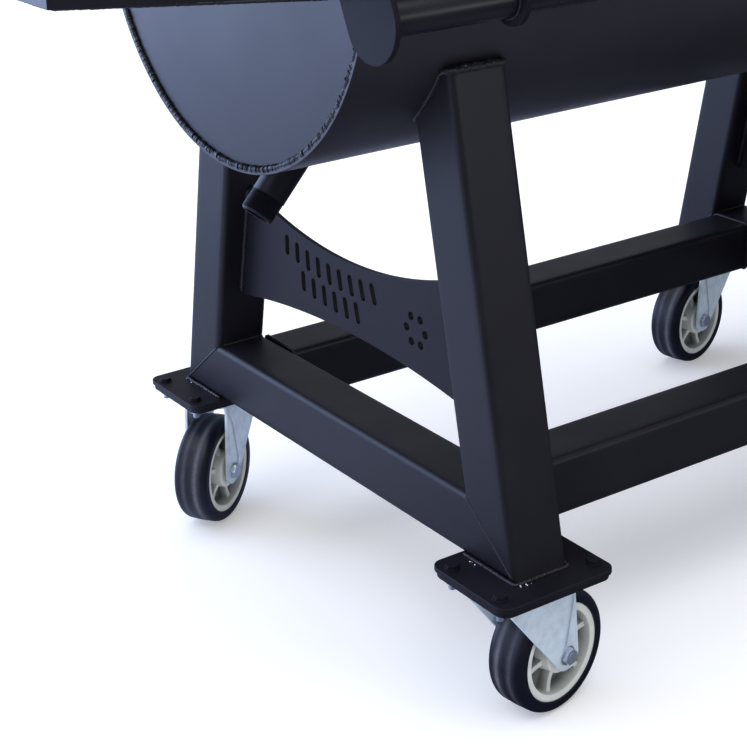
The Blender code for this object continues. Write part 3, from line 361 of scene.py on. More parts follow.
def in_doorway(i, j):
    return i == 1 and doorway[0] - 0.01 <= chamber_angles[j] < doorway[1] - 0.01


chamber_bm = bmesh.new()
rolled_plate(chamber_bm, stations, chamber_angles, chamber_radius, plate, chamber_axis, True,
             in_doorway)
finish_piece("chamber_pipe", chamber_bm, [lit_chamber_paint, smoked_steel], "root",
             "cook_chamber_shell", edge=0.0008)

# Angle ledges run along the inside of the pipe, front and back, for the grates.
grate_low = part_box("cooking_grate_left")[0]


def add_block(bm, centre, size, turn=None):
    spin = turn.to_4x4() if turn else Matrix.Identity(4)
    at = Matrix.Translation(centre) @ spin @ Matrix.Diagonal((*size, 1.0))
    return bmesh.ops.create_cube(bm, size=1.0, matrix=at)["verts"]


ledge_bm = bmesh.new()
ledge_length, ledge_thick = 47.6 * inch, 0.19 * inch
for side in (-1, 1):
    flange = (chamber_mid, side * 10.05 * inch, grate_low.z - 0.16 * inch)
    add_block(ledge_bm, flange, (ledge_length, 1.4 * inch, ledge_thick))
    web = (chamber_mid, side * 10.0 * inch, grate_low.z - 0.7 * inch)
    add_block(ledge_bm, web, (ledge_length, ledge_thick, 0.9 * inch))
finish_piece("grate_ledges", ledge_bm, smoked_steel, "root", edge=0.0008, slot="bare_steel")

# ------------------------------------------------------------ the end plates
# Discs of the same plate let a little way into the pipe and welded all round in
# one pass; the stacked ripples of the bead show through the paint.


def settled_mesh(thing):
    """The mesh an object has once its curve or its modifiers are worked out."""
    bpy.context.view_layer.update()
    shape = thing.evaluated_get(bpy.context.evaluated_depsgraph_get())
    return bpy.data.meshes.new_from_object(shape)


def cut_sheet(outline, holes, thickness, edge=0.0006):
    """A sheet in X and Y with cut-outs, its edges eased, thickness along Z."""
    curve = bpy.data.curves.new("cutting_line", "CURVE")
    curve.dimensions = "2D"
    curve.fill_mode = "BOTH"
    curve.extrude = thickness / 2 - edge
    curve.bevel_depth = edge
    curve.bevel_resolution = 1
    curve.offset = -edge
    for loop in [outline, *holes]:
        spline = curve.splines.new("POLY")
        spline.points.add(len(loop) - 1)
        for point, (u, v) in zip(spline.points, loop):
            point.co = (u, v, 0.0, 1.0)
        spline.use_cyclic_u = True
    draft = stand("cutting_line", curve)
    mesh = settled_mesh(draft)
    bpy.data.objects.remove(draft, do_unlink=True)
    bpy.data.curves.remove(curve)
    return mesh


def add_sheet(bm, at, outline, holes, thickness, edge=0.0006):
    mesh = cut_sheet(outline, holes, thickness, edge)
    mesh.transform(at)
    bm.from_mesh(mesh)
    bpy.data.meshes.remove(mesh)
    bmesh.ops.remove_doubles(bm, verts=bm.verts, dist=1e-6)


def upright(x, y=0.0, z=0.0):
    """Stands a sheet in the YZ plane: its own X along Y and its own Y up."""
    return Matrix(((0, 0, 1, x), (1, 0, 0, y), (0, 1, 0, z), (0, 0, 0, 1)))


def circle(radius, count, at=(0.0, 0.0)):
    steps = [math.tau * i / count for i in range(count)]
    return [(at[0] + radius * math.cos(t), at[1] + radius * math.sin(t)) for t in steps]


def rounded_rectangle(width, height, corner, at=(0.0, 0.0), steps=6):
    loop = []
    for quarter, (sx, sy) in enumerate(((1, 1), (-1, 1), (-1, -1), (1, -1))):
        for i in range(steps + 1):
            turn = math.pi / 2 * (quarter + i / steps)
            u = at[0] + sx * (width / 2 - corner) + corner * math.cos(turn)
            v = at[1] + sy * (height / 2 - corner) + corner * math.sin(turn)
            loop.append((u, v))
    return loop


def hoop(x, y, z, radius, count):
    """Points round a circle that faces along X."""
    return [(x, y + u, z + v) for u, v in circle(radius, count)]


def join_rings(bm, first, second):
    """A band of faces between two rings with the same number of corners."""
    for k in range(len(first)):
        n = (k + 1) % len(first)
        bm.faces.new((first[k], first[n], second[n], second[k]))


def add_bead(bm, points, radius, seed, closed=False, pitch=None):
    """A weld bead along a line: one ripple after another, each a little off the last."""
    sides, per = 8, 4
    luck = random.Random(seed)
    line = [Vector(point) for point in points]
    if closed:
        line.append(line[0])
    legs = [(b - a).length for a, b in zip(line, line[1:])]
    ripples = max(2, round(sum(legs) / (pitch or radius * 1.15)))
    count = ripples * per
    rings, leg, done = [], 0, 0.0
    step = sum(legs) / count
    tangent_before = side = None
    for index in range(count + (0 if closed else 1)):
        along = index * step
        while leg < len(legs) - 1 and along > done + legs[leg]:
            done += legs[leg]
            leg += 1
        ahead = (line[leg + 1] - line[leg]).normalized()
        centre = line[leg] + ahead * min(along - done, legs[leg])
        if side is None:
            side = ahead.orthogonal().normalized()
        elif tangent_before is not None:
            side = tangent_before.rotation_difference(ahead) @ side
        tangent_before = ahead
        if index % per == 0:
            swell = luck.uniform(0.88, 1.10)
            drift = Vector([luck.uniform(-0.10, 0.10) * radius for _ in range(3)])
        part = (index % per) / per
        thick = radius * swell * (0.70 + 0.30 * (1.0 - part) ** 0.6)
        if not closed:
            near_end = min(along, sum(legs) - along)
            thick *= 0.45 + 0.55 * min(1.0, near_end / (radius * 1.6))
        other = ahead.cross(side)
        ring = []
        for k in range(sides):
            turn = math.tau * k / sides
            out = side * math.cos(turn) + other * math.sin(turn)
            ring.append(bm.verts.new(centre + drift + out * thick))
        rings.append(ring)
    pairs = list(zip(rings, rings[1:]))
    if closed:
        pairs.append((rings[-1], rings[0]))
    for first, second in pairs:
        join_rings(bm, first, second)
    if not closed:
        bm.faces.new(rings[0])
        bm.faces.new(list(reversed(rings[-1])))


weld_paint = satin_black("painted_weld", rough=0.34, colour=(0.010, 0.0095, 0.0135), grain=500.0,
                         bump=0.22, dust=0.02)
smoke_passage, smoke_passage_z = (15.0 * inch, 5.2 * inch), 36.7 * inch
fire_passage, fire_passage_z = (11.0 * inch, 6.5 * inch), 29.75 * inch
end_plates = {"left": (-1, smoke_passage, smoke_passage_z),
              "right": (1, fire_passage, fire_passage_z)}
chamber_beads = bmesh.new()
plate_paint = satin_black("plate_paint", rough=0.36)
for side, (outward, size, passage_z) in end_plates.items():
    low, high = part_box("chamber_end_plate_" + side)
    disc_bm = bmesh.new()
    disc = circle(chamber_radius - plate, 160)
    passage = rounded_rectangle(*size, 0.01 * inch, (0.0, passage_z - chamber_axis))
    add_sheet(disc_bm, upright((low.x + high.x) / 2, 0.0, chamber_axis), disc, [passage], plate)
    finish_piece("end_plate_" + side, disc_bm, plate_paint, "root", "chamber_end_plate_" + side,
                 angle=20)
    face_x = low.x if outward < 0 else high.x
    ring = hoop(face_x + outward * 0.0008, 0.0, chamber_axis, chamber_radius - 0.0060, 240)
    add_bead(chamber_beads, ring, 0.0044, 11 + outward, closed=True, pitch=0.0034)

# -------------------------------------------------- the smoke collector, chimney
# Four plates and an end, cut to a taper and welded at the corners, with a round
# hole in the top for the 6 in pipe. A loose cap swings aside on a pin.


box_low, box_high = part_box("smoke_collector")
narrow_half = 3.13 * inch
wide_half = box_high.y
collector_bm = bmesh.new()


def tapered_box(bm, low_x, high_x, narrow, wide, low_z, high_z, inset, lining=0):
    """Outer and inner skins of a box that widens along X and is open at its wide end.

    The inner skin takes the finish with the number given by lining."""
    loops = []
    grow = (wide - narrow) / (high_x - low_x)
    for offset in (0.0, inset):
        x = low_x + offset
        half = narrow + grow * offset - offset * math.hypot(1.0, grow)
        far = wide - offset * math.hypot(1.0, grow)
        corners = []
        for at_x, at_half in ((x, half), (high_x, far)):
            for sy, sz in ((-1, -1), (1, -1), (1, 1), (-1, 1)):
                z = low_z + offset if sz < 0 else high_z - offset
                corners.append(bm.verts.new((at_x, sy * at_half, z)))
        loops.append(corners)
    for corners in loops:
        bm.faces.new(corners[:4])
        join_rings(bm, corners[:4], corners[4:])
    for face in list(bm.faces)[5:]:
        face.material_index = lining
    join_rings(bm, loops[0][4:], loops[1][4:])


tapered_box(collector_bm, box_low.x, box_high.x, narrow_half, wide_half, box_low.z, box_high.z,
            plate)
collector = finish_piece("smoke_collector_box", collector_bm, [plate_paint, smoked_steel], "root",
                         "smoke_collector")
pipe_low, pipe_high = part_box("chimney_pipe")
chimney_x = (pipe_low.x + pipe_high.x) / 2
chimney_radius = (pipe_high.x - pipe_low.x) / 2


def carve(piece, cutter_bm):
    """Cut a shape out of a piece for good."""
    cutter = stand("cutter", as_mesh("cutter", cutter_bm))
    boolean = piece.modifiers.new("carve", "BOOLEAN")
    boolean.operation = "DIFFERENCE"
    boolean.solver = "EXACT"
    boolean.object = cutter
    carved = settled_mesh(piece)
    piece.modifiers.clear()
    piece.data = carved
    bpy.data.objects.remove(cutter, do_unlink=True)
    return piece


def add_rod(bm, start, end, radius, sides=24):
    """A round bar from start to end."""
    start, end = Vector(start), Vector(end)
    along = end - start
    spin = along.to_track_quat("Z", "Y").to_matrix().to_4x4()
    bmesh.ops.create_cone(bm, cap_ends=True, segments=sides, radius1=radius, radius2=radius,
                          depth=along.length, matrix=Matrix.Translation((start + end) / 2) @ spin)


chimney_hole = bmesh.new()
add_rod(chimney_hole, (chimney_x, 0, box_high.z - 0.03), (chimney_x, 0, box_high.z + 0.03),
        chimney_radius - plate, 64)
round_off(carve(collector, chimney_hole), 0.0009)


def lathe(bm, profile, at, steps=48, closed=False):
    """Turn a profile of (radius, height) about its own Z; closed joins last to first."""
    rings = []
    for radius, height in profile:
        if radius < 1e-6:
            rings.append([bm.verts.new(at @ Vector((0, 0, height)))] * steps)
            continue
        ring = circle(radius, steps)
        rings.append([bm.verts.new(at @ Vector((x, y, height))) for x, y in ring])
    pairs = list(zip(rings, rings[1:]))
    if closed:
        pairs.append((rings[-1], rings[0]))
    for lower, upper in pairs:
        for i in range(steps):
            n = (i + 1) % steps
            corners = []
            for vert in (lower[i], lower[n], upper[n], upper[i]):
                if vert not in corners:
                    corners.append(vert)
            if len(corners) > 2:
                bm.faces.new(corners)


def sleeve(bore, radius, low, high):
    """The profile of a ring or, with no bore, of a plain round bar."""
    return [(bore, low), (radius, low), (radius, high), (bore, high)]


def softened(corners, size, steps=3):
    """Round each corner of an open profile of (radius, height) pairs."""
    loop = [corners[0]]
    for before, here, after in zip(corners, corners[1:], corners[2:]):
        here, before, after = Vector(here), Vector(before), Vector(after)
        back = min(size, (before - here).length * 0.45)
        ahead = min(size, (after - here).length * 0.45)
        first = here + (before - here).normalized() * back
        last = here + (after - here).normalized() * ahead
        for i in range(steps + 1):
            t = i / steps
            point = first * (1 - t) ** 2 + here * 2 * t * (1 - t) + last * t * t
            loop.append((point.x, point.y))
    loop.append(corners[-1])
    return loop


chimney_wall = 0.19 * inch
chimney_bm = bmesh.new()
stack = sleeve(chimney_radius - chimney_wall, chimney_radius, pipe_low.z, pipe_high.z)
lathe(chimney_bm, softened(stack, 0.0012), Matrix.Translation((chimney_x, 0, 0)), 96, closed=True)
ear_y = chimney_radius + 0.55 * inch
ear = rounded_rectangle(0.9 * inch, 1.3 * inch, 0.44 * inch, (0.0, -0.1 * inch))
ear_hole = circle(0.17 * inch, 16)
ear_at = Matrix.Translation((chimney_x, ear_y, pipe_high.z - 0.25 * inch))
add_sheet(chimney_bm, ear_at, ear, [ear_hole], 0.46 * inch, 0.0012)
finish_piece("chimney_stack", chimney_bm, plate_paint, "root", "chimney_pipe")

collector_beads = bmesh.new()
foot = [(chimney_x + u, v, box_high.z + 0.0012) for u, v in circle(chimney_radius + 0.0010, 120)]
add_bead(collector_beads, foot, 0.0036, 21, closed=True)
for sy in (-1, 1):
    for z in (box_low.z + 0.0006, box_high.z - 0.0006):
        near = (box_low.x + 0.0036, sy * (narrow_half - 0.0012), z)
        far = (box_high.x - 0.004, sy * (wide_half - 0.0030), z)
        add_bead(collector_beads, [near, far], 0.0022, 23 + sy)
    corner = (box_low.x + 0.0029, sy * (narrow_half - 0.0012))
    add_bead(collector_beads, [(*corner, box_low.z + 0.002), (*corner, box_high.z - 0.002)], 0.0022,
             27 + sy)
for z in (box_low.z + 0.0012, box_high.z - 0.0012):
    across = [(box_low.x + 0.0029, -narrow_half + 0.003, z),
              (box_low.x + 0.0029, narrow_half - 0.003, z)]
    add_bead(collector_beads, across, 0.0022, 31)

weld_gap = 0.0003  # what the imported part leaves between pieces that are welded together
cap_z = pipe_high.z + weld_gap
cap_bm = bmesh.new()
cap_rim = chimney_radius + 0.1 * inch
cap_profile = softened(sleeve(0.0, cap_rim, cap_z, cap_z + 0.0048), 0.0012)
lathe(cap_bm, cap_profile, Matrix.Translation((chimney_x, 0, 0)), 96)
tab = rounded_rectangle(0.84 * inch, 1.55 * inch, 0.40 * inch, (chimney_x, ear_y - 0.32 * inch))
add_sheet(cap_bm, Matrix.Translation((0, 0, cap_z + 0.0022)), tab, [], 0.0043, 0.0008)
add_rod(cap_bm, (chimney_x, ear_y, cap_z - 0.5 * inch), (chimney_x, ear_y, cap_z + 0.68 * inch),
        0.115 * inch, 20)
add_rod(cap_bm, (chimney_x, ear_y, cap_z + 0.0045), (chimney_x, ear_y, cap_z + 0.0105), 0.27 * inch,
        6)
grip = rounded_rectangle(0.30 * inch, 1.4 * inch, 0.14 * inch,
                         (chimney_x, -chimney_radius - 0.42 * inch))
add_sheet(cap_bm, Matrix.Translation((0, 0, cap_z + 0.0023)), grip, [], 0.0040, 0.0012)
finish_piece("chimney_cap", cap_bm, plate_paint, "chimney_damper", "chimney_damper", edge=0.0004)

# ----------------------------------------------------------- the drain nipple
# A short threaded pipe nipple welded into the bottom of the chamber. It slants
# down to the collector end, and its open end carries the pipe thread.
nipple_radius, nipple_bore, nipple_length = 0.83 * inch, 0.62 * inch, 3.75 * inch
nipple_turn = math.radians(42.0)
nipple_top = Vector((chamber_low.x + 3.67 * inch, 0.0, chamber_low.z + 0.35 * inch))
nipple_along = Vector((-math.sin(nipple_turn), 0.0, -math.cos(nipple_turn)))
nipple_bm = bmesh.new()
thread_pitch = 0.087 * inch
thread_length = 1.05 * inch
profile = [(nipple_bore, 0.0), (nipple_radius, 0.0), (nipple_radius, nipple_length - thread_length)]
for i in range(11):
    at = nipple_length - thread_length + (i + 0.5) * thread_pitch
    profile += [(nipple_radius - 0.055 * inch, at),
                (nipple_radius - 0.004 * inch, at + thread_pitch / 2)]
profile += [(nipple_radius - 0.06 * inch, nipple_length - 0.0012),
            (nipple_radius - 0.08 * inch, nipple_length), (nipple_bore, nipple_length)]
nipple_spin = nipple_along.to_track_quat("Z", "Y").to_matrix().to_4x4()
nipple_at = Matrix.Translation(nipple_top) @ nipple_spin
lathe(nipple_bm, profile, nipple_at, 56, closed=True)
nipple_black = satin_black("nipple_black", rough=0.30, ior=1.27, dust=0.02)
finish_piece("drain_pipe", nipple_bm, [nipple_black, smoked_steel], "root", "drain_nipple",
             angle=60)
nipple_collar = []
nipple_across = Vector((math.cos(nipple_turn), 0, -math.sin(nipple_turn)))
for u, v in circle(nipple_radius * 1.04, 48):
    point = nipple_top + Vector((0, u, 0)) + nipple_across * v
    # slide the point along the nipple until it meets the pipe's outside
    surface = chamber_axis - math.sqrt(chamber_radius ** 2 - point.y ** 2)
    slide = (surface - point.z) / nipple_along.z
    nipple_collar.append(point + nipple_along * slide)
add_bead(chamber_beads, nipple_collar, 0.0030, 37, closed=True)
finish_piece("chamber_welds", chamber_beads, weld_paint, "root", angle=70)
finish_piece("collector_welds", collector_beads, weld_paint, "root", angle=70)

# --------------------------------------------------- the A-frame of square tube
# 3 in square tube with rounded corners: four legs lean in to the chamber, mitred
# at the foot to two end rails and tied by two long rails. All joints are welded.
tube = 3.0 * inch
tube_wall = 0.25 * inch
tube_corner = 0.32 * inch
tube_lean = math.atan(0.196)
tube_paint = satin_black("tube_paint", rough=0.42, ior=1.36, grain=700.0, bump=0.08, dust=0.08)


def square_loop(half, corner, flats=8, turns=6):
    """Points round a square with rounded corners, more of them on its flats."""
    loop = []
    flat = half - corner
    for quarter in range(4):
        spin = Matrix.Rotation(math.pi / 2 * quarter, 2)
        side = [Vector((half, -flat + 2 * flat * i / flats)) for i in range(flats)]
        bend = [Vector((flat + corner * math.cos(math.pi / 2 * i / turns),
                        flat + corner * math.sin(math.pi / 2 * i / turns))) for i in range(turns)]
        loop += [spin @ point for point in side + bend]
    return loop


def add_tube(bm, centre, along, across, low_end, high_end):
    """Square tube through centre; each end is a function that stops a line along it.

    Gives back the outer corners of the high end."""
    along, across = Vector(along).normalized(), Vector(across).normalized()
    third = along.cross(across)
    loops = []
    for half, corner in ((tube / 2, tube_corner), (tube / 2 - tube_wall, 0.09 * inch)):
        lows, highs = [], []
        for u, v in square_loop(half, corner):
            foot = Vector(centre) + across * u + third * v
            lows.append(foot + along * low_end(foot, along))
            highs.append(foot + along * high_end(foot, along))
        loops.append((lows, highs))
    (out_low, out_high), (in_low, in_high) = (
        [[bm.verts.new(place) for place in places] for places in pair] for pair in loops)
    count = len(out_low)
    for i in range(count):
        n = (i + 1) % count
        bm.faces.new((out_low[i], out_low[n], out_high[n], out_high[i]))
        bm.faces.new((in_low[i], in_high[i], in_high[n], in_low[n]))
        bm.faces.new((out_low[i], in_low[i], in_low[n], out_low[n]))
        bm.faces.new((out_high[i], out_high[n], in_high[n], in_high[i]))
    return loops[0][1]


def at_plane(point, normal):
    """Stops a line at a plane through a point."""
    point, normal = Vector(point), Vector(normal)
    return lambda foot, along: (point - foot).dot(normal) / along.dot(normal)


def under_chamber(level):
    """Stops a line at a level height or at the chamber's pipe, whichever is first."""
    def reach(foot, along):
        flat = (level - foot.z) / along.z
        y, z = foot.y, foot.z - chamber_axis
        a = along.y ** 2 + along.z ** 2
        b = 2 * (y * along.y + z * along.z)
        c = y * y + z * z - (chamber_radius + weld_gap) ** 2
        under = b * b - 4 * a * c
        return flat if under <= 0 else min(flat, (-b - math.sqrt(under)) / (2 * a))
    return reach


frame_low, leg_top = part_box("leg_front_left")
deck = frame_low.z
frame_half = -frame_low.y
frame_left = frame_low.x
frame_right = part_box("leg_front_right")[1].x
tube_slant = tube / math.cos(tube_lean)
mitre_reach = tube_slant + tube * math.tan(tube_lean)
mitre_slope = math.atan2(tube, mitre_reach)
rail_mid_z = deck + tube / 2


def mitre(sign):
    """The cut where a leg meets an end rail, at the front (-1) or the rear (1)."""
    return at_plane((0.0, sign * (frame_half - mitre_reach / 2), rail_mid_z),
                    (0.0, math.sin(mitre_slope) * sign, math.cos(mitre_slope)))


frame_beads = bmesh.new()
leg_xs = {"left": frame_left + tube / 2, "right": frame_right - tube / 2}
for end, sign in (("front", -1), ("rear", 1)):
    for side, x in leg_xs.items():
        leg_bm = bmesh.new()
        rise = Vector((0.0, -sign * math.sin(tube_lean), math.cos(tube_lean)))
        middle_z = (deck + leg_top.z) / 2
        inset = (middle_z - deck) * math.tan(tube_lean) + tube_slant / 2
        centre = (x, sign * (frame_half - inset), middle_z)
        highs = add_tube(leg_bm, centre, rise, (1, 0, 0), mitre(sign), under_chamber(leg_top.z))
        finish_piece("leg_" + end + "_" + side + "_tube", leg_bm, tube_paint, "root",
                     "leg_" + end + "_" + side, edge=0.0006)
        # the leg's top is filled to the pipe in a heavy, uneven bead
        inwards = Vector((0.0, -sign, 0.0))
        rim = [point + inwards * 0.0012 + Vector((0, 0, 0.0006)) for point in highs]
        add_bead(frame_beads, rim, 0.0040, 41 + sign, closed=True)
        level = [point for point in highs if abs(point.z - leg_top.z) < 0.0005]
        face_y = min((point.y * -sign for point in level)) * -sign
        passes = ((0.0055, 0.0006, 0.0052), (0.0125, -0.0006, 0.0050))
        for k, (back, lift, size) in enumerate(passes):
            y = face_y - sign * back
            z = leg_top.z + lift
            add_bead(frame_beads, [(x - tube / 2 + 0.005, y, z), (x + tube / 2 - 0.005, y, z)],
                     size, 51 + k + sign)
        # the mitre's seam shows on both sides of the corner
        for face_x in (x - tube / 2, x + tube / 2):
            outward = 1 if face_x > x else -1
            low_corner = (face_x - outward * 0.0006, sign * (frame_half - 0.006), deck + 0.005)
            high_corner = (face_x - outward * 0.0006, sign * (frame_half - mitre_reach + 0.004),
                           deck + tube - 0.003)
            add_bead(frame_beads, [low_corner, high_corner], 0.0017, 61 + sign + outward)
        heel_y = sign * (frame_half - mitre_reach - 0.0006)
        heel = [(x - tube / 2 + 0.008, heel_y, deck + tube + 0.0006),
                (x + tube / 2 - 0.008, heel_y, deck + tube + 0.0006)]
        add_bead(frame_beads, heel, 0.0032, 71 + sign)

for side, x in leg_xs.items():
    rail_bm = bmesh.new()
    add_tube(rail_bm, (x, 0, rail_mid_z), (0, 1, 0), (1, 0, 0), mitre(-1), mitre(1))
    finish_piece("end_rail_" + side + "_tube", rail_bm, tube_paint, "root", "end_rail_" + side,
                 edge=0.0006)

for end in ("front", "rear"):
    low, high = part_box("long_rail_" + end)
    mid_y = (low.y + high.y) / 2
    rail_bm = bmesh.new()
    add_tube(rail_bm, (0, mid_y, rail_mid_z), (1, 0, 0), (0, 1, 0), at_plane(low, (1, 0, 0)),
             at_plane(high, (1, 0, 0)))
    finish_piece("long_rail_" + end + "_tube", rail_bm, tube_paint, "root", "long_rail_" + end,
                 edge=0.0006)
    for end_x, lean in ((low.x, 1), (high.x, -1)):
        seam = [(end_x + lean * 0.0010, mid_y + u, rail_mid_z + v)
                for u, v in square_loop(tube / 2 + 0.0002, tube_corner)]
        add_bead(frame_beads, seam, 0.0024, 81 + lean, closed=True)

# ----------------------------------------------------------- the gusset plates
# Laser-cut plates that tie each pair of legs, hollow on top and arched below. The
# collector end's plate is pierced with rows of slots and a ring of round holes.
gusset_paint = satin_black("gusset_paint", rough=0.48, colour=(0.0085, 0.0080, 0.0120), grain=800.0,
                           bump=0.07, dust=0.1, ior=1.26)
hollow_radius, hollow_z = 25.0 * inch, deck + 10.59 * inch
arch_radius, arch_z = 55.0 * inch, deck + 6.92 * inch


def hollow(y):
    return hollow_z + hollow_radius - math.sqrt(hollow_radius ** 2 - y ** 2)


def arch(y):
    return arch_z - arch_radius + math.sqrt(arch_radius ** 2 - y ** 2)


def to_leg(edge):
    y = 0.0
    for _ in range(8):
        y = frame_half - tube_slant - weld_gap - (edge(y) - deck) * math.tan(tube_lean)
    return y


def slot(y, z, length, half, turn, steps=6):
    loop = []
    for end in (1, -1):
        for i in range(steps + 1):
            spin = math.pi * i / steps
            u, v = half * math.cos(spin) * end, end * (length / 2 + half * math.sin(spin))
            loop.append((y + u * math.cos(turn) - v * math.sin(turn),
                         z + u * math.sin(turn) + v * math.cos(turn)))
    return loop


upper_half, lower_half = to_leg(hollow), to_leg(arch)
spans = [2 * i / 48 - 1 for i in range(49)]
gusset_outline = [(lower_half * t, arch(lower_half * t)) for t in spans]
gusset_outline += [(upper_half * t, hollow(upper_half * t)) for t in reversed(spans)]
pattern = []
for count, height in ((9, 9.45 * inch), (6, 8.15 * inch)):
    for i in range(count):
        y = (1.6 - (i - (count - 1) / 2) * 0.95) * inch
        z = deck + height + y * y / (2 * hollow_radius)
        pattern.append(slot(y, z, 0.75 * inch, 0.17 * inch, y / hollow_radius - 0.2))
ring_centre = (-5.6 * inch, deck + 8.75 * inch)
pattern += [circle(0.2 * inch, 20, at) for at in circle(0.72 * inch, 6, ring_centre)]
for side, x in leg_xs.items():
    gusset_bm = bmesh.new()
    add_sheet(gusset_bm, upright(x), gusset_outline, pattern if side == "left" else [], plate)
    finish_piece("gusset_" + side, gusset_bm, gusset_paint, "root", "gusset_plate_" + side,
                 angle=20)
    for sy in (-1, 1):
        for face in (-1, 1):
            seam_x = x + face * (plate / 2 + 0.0006)
            top = (seam_x, sy * (upper_half - 0.0012), hollow(upper_half) - 0.004)
            low = (seam_x, sy * (lower_half - 0.0012), arch(lower_half) + 0.004)
            add_bead(frame_beads, [low, top], 0.0042, 91 + sy + face, pitch=0.0036)

# ------------------------------------------------- base plates under the legs
# 1/4 in plates with rounded corners welded under the frame's corners. The caster's
# top plate is bolted below with four hex bolts, their nuts on the underside.
corners = ("front_left", "front_right", "rear_left", "rear_right")
bolt_spots = [(sx * 2.625 * inch, sy * 1.6875 * inch) for sx in (-1, 1) for sy in (-1, 1)]
plate_black = satin_black("base_plate_paint", rough=0.44, grain=650.0, bump=0.10, dust=0.04,
                          ior=1.30)


def zinc_plating(name, rough, colour, patch, bump, metallic=0.85):
    """Bright zinc over pressed steel: cool, cloudy, with faint rolled scratches."""
    zinc, tree, where = new_finish(name, Metallic=metallic)
    cloud = noise(tree, where, patch, 5.0, 0.65)
    fine = noise(tree, where, 420.0, 3.0)
    tint = put(tree, "ShaderNodeValToRGB", Fac=cloud)
    low, high = tint.color_ramp.elements
    low.position, high.position = 0.30, 0.72
    low.color = (*(channel * 0.76 for channel in colour), 1)
    high.color = (*colour, 1)
    warm = tint.color_ramp.elements.new(0.52)
    warm.color = (colour[0] * 0.90, colour[1] * 0.92, colour[2] * 0.97, 1)
    # painted shade: a dark bluish line along the fork's crease, where the fold would fall into
    # shadow
    crease_shade_mask = put(tree, "ShaderNodeAttribute", {"attribute_name": "painted_crease_shade"}).outputs["Fac"]
    crease_shade_mask = worked_out(tree, "MULTIPLY", crease_shade_mask, spread(tree, cloud, 0.2, 0.7, 0.9, 0.55))
    crease_shaded_zinc = mixed_colour(tree, crease_shade_mask, tint.outputs["Color"], (0.16, 0.22, 0.34, 1))
    gloss = spread(tree, cloud, 0.3, 0.7, rough + 0.12, rough - 0.04)
    height = worked_out(tree, "ADD", fine, worked_out(tree, "MULTIPLY", cloud, 2.0))
    feed(tree, crease_shaded_zinc, gloss, height, bump, 0.0005)
    return zinc


fork_zinc = zinc_plating("fork_zinc", 0.40, (0.78, 0.88, 0.96), 55.0, 0.10, 0.30)
bolt_zinc = zinc_plating("bolt_zinc", 0.30, (0.66, 0.72, 0.78), 120.0, 0.10)
bare_spatter = zinc_plating("bare_spatter", 0.22, (0.85, 0.87, 0.90), 300.0, 0.3)


def add_hex(bm, x, y, low, high, radius, turn=0.3):
    """A hex head or nut with its corners chamfered on the outer face."""
    steps = 36
    rings = []
    up = 1 if high > low else -1
    for height, share in ((low, 1.0), (high - up * 0.0012, 1.0), (high, 0.90)):
        ring = []
        for i in range(steps):
            angle = math.tau * i / steps
            flat = math.cos(math.pi / 6) / math.cos((angle % (math.pi / 3)) - math.pi / 6)
            reach = min(radius * flat, radius * share) if share < 1 else radius * flat
            ring.append(bm.verts.new((x + reach * math.cos(angle + turn),
                                      y + reach * math.sin(angle + turn), height)))
        rings.append(ring)
    for lower, upper in zip(rings, rings[1:]):
        join_rings(bm, lower, upper)
    bm.faces.new(list(reversed(rings[0])))
    bm.faces.new(rings[-1])


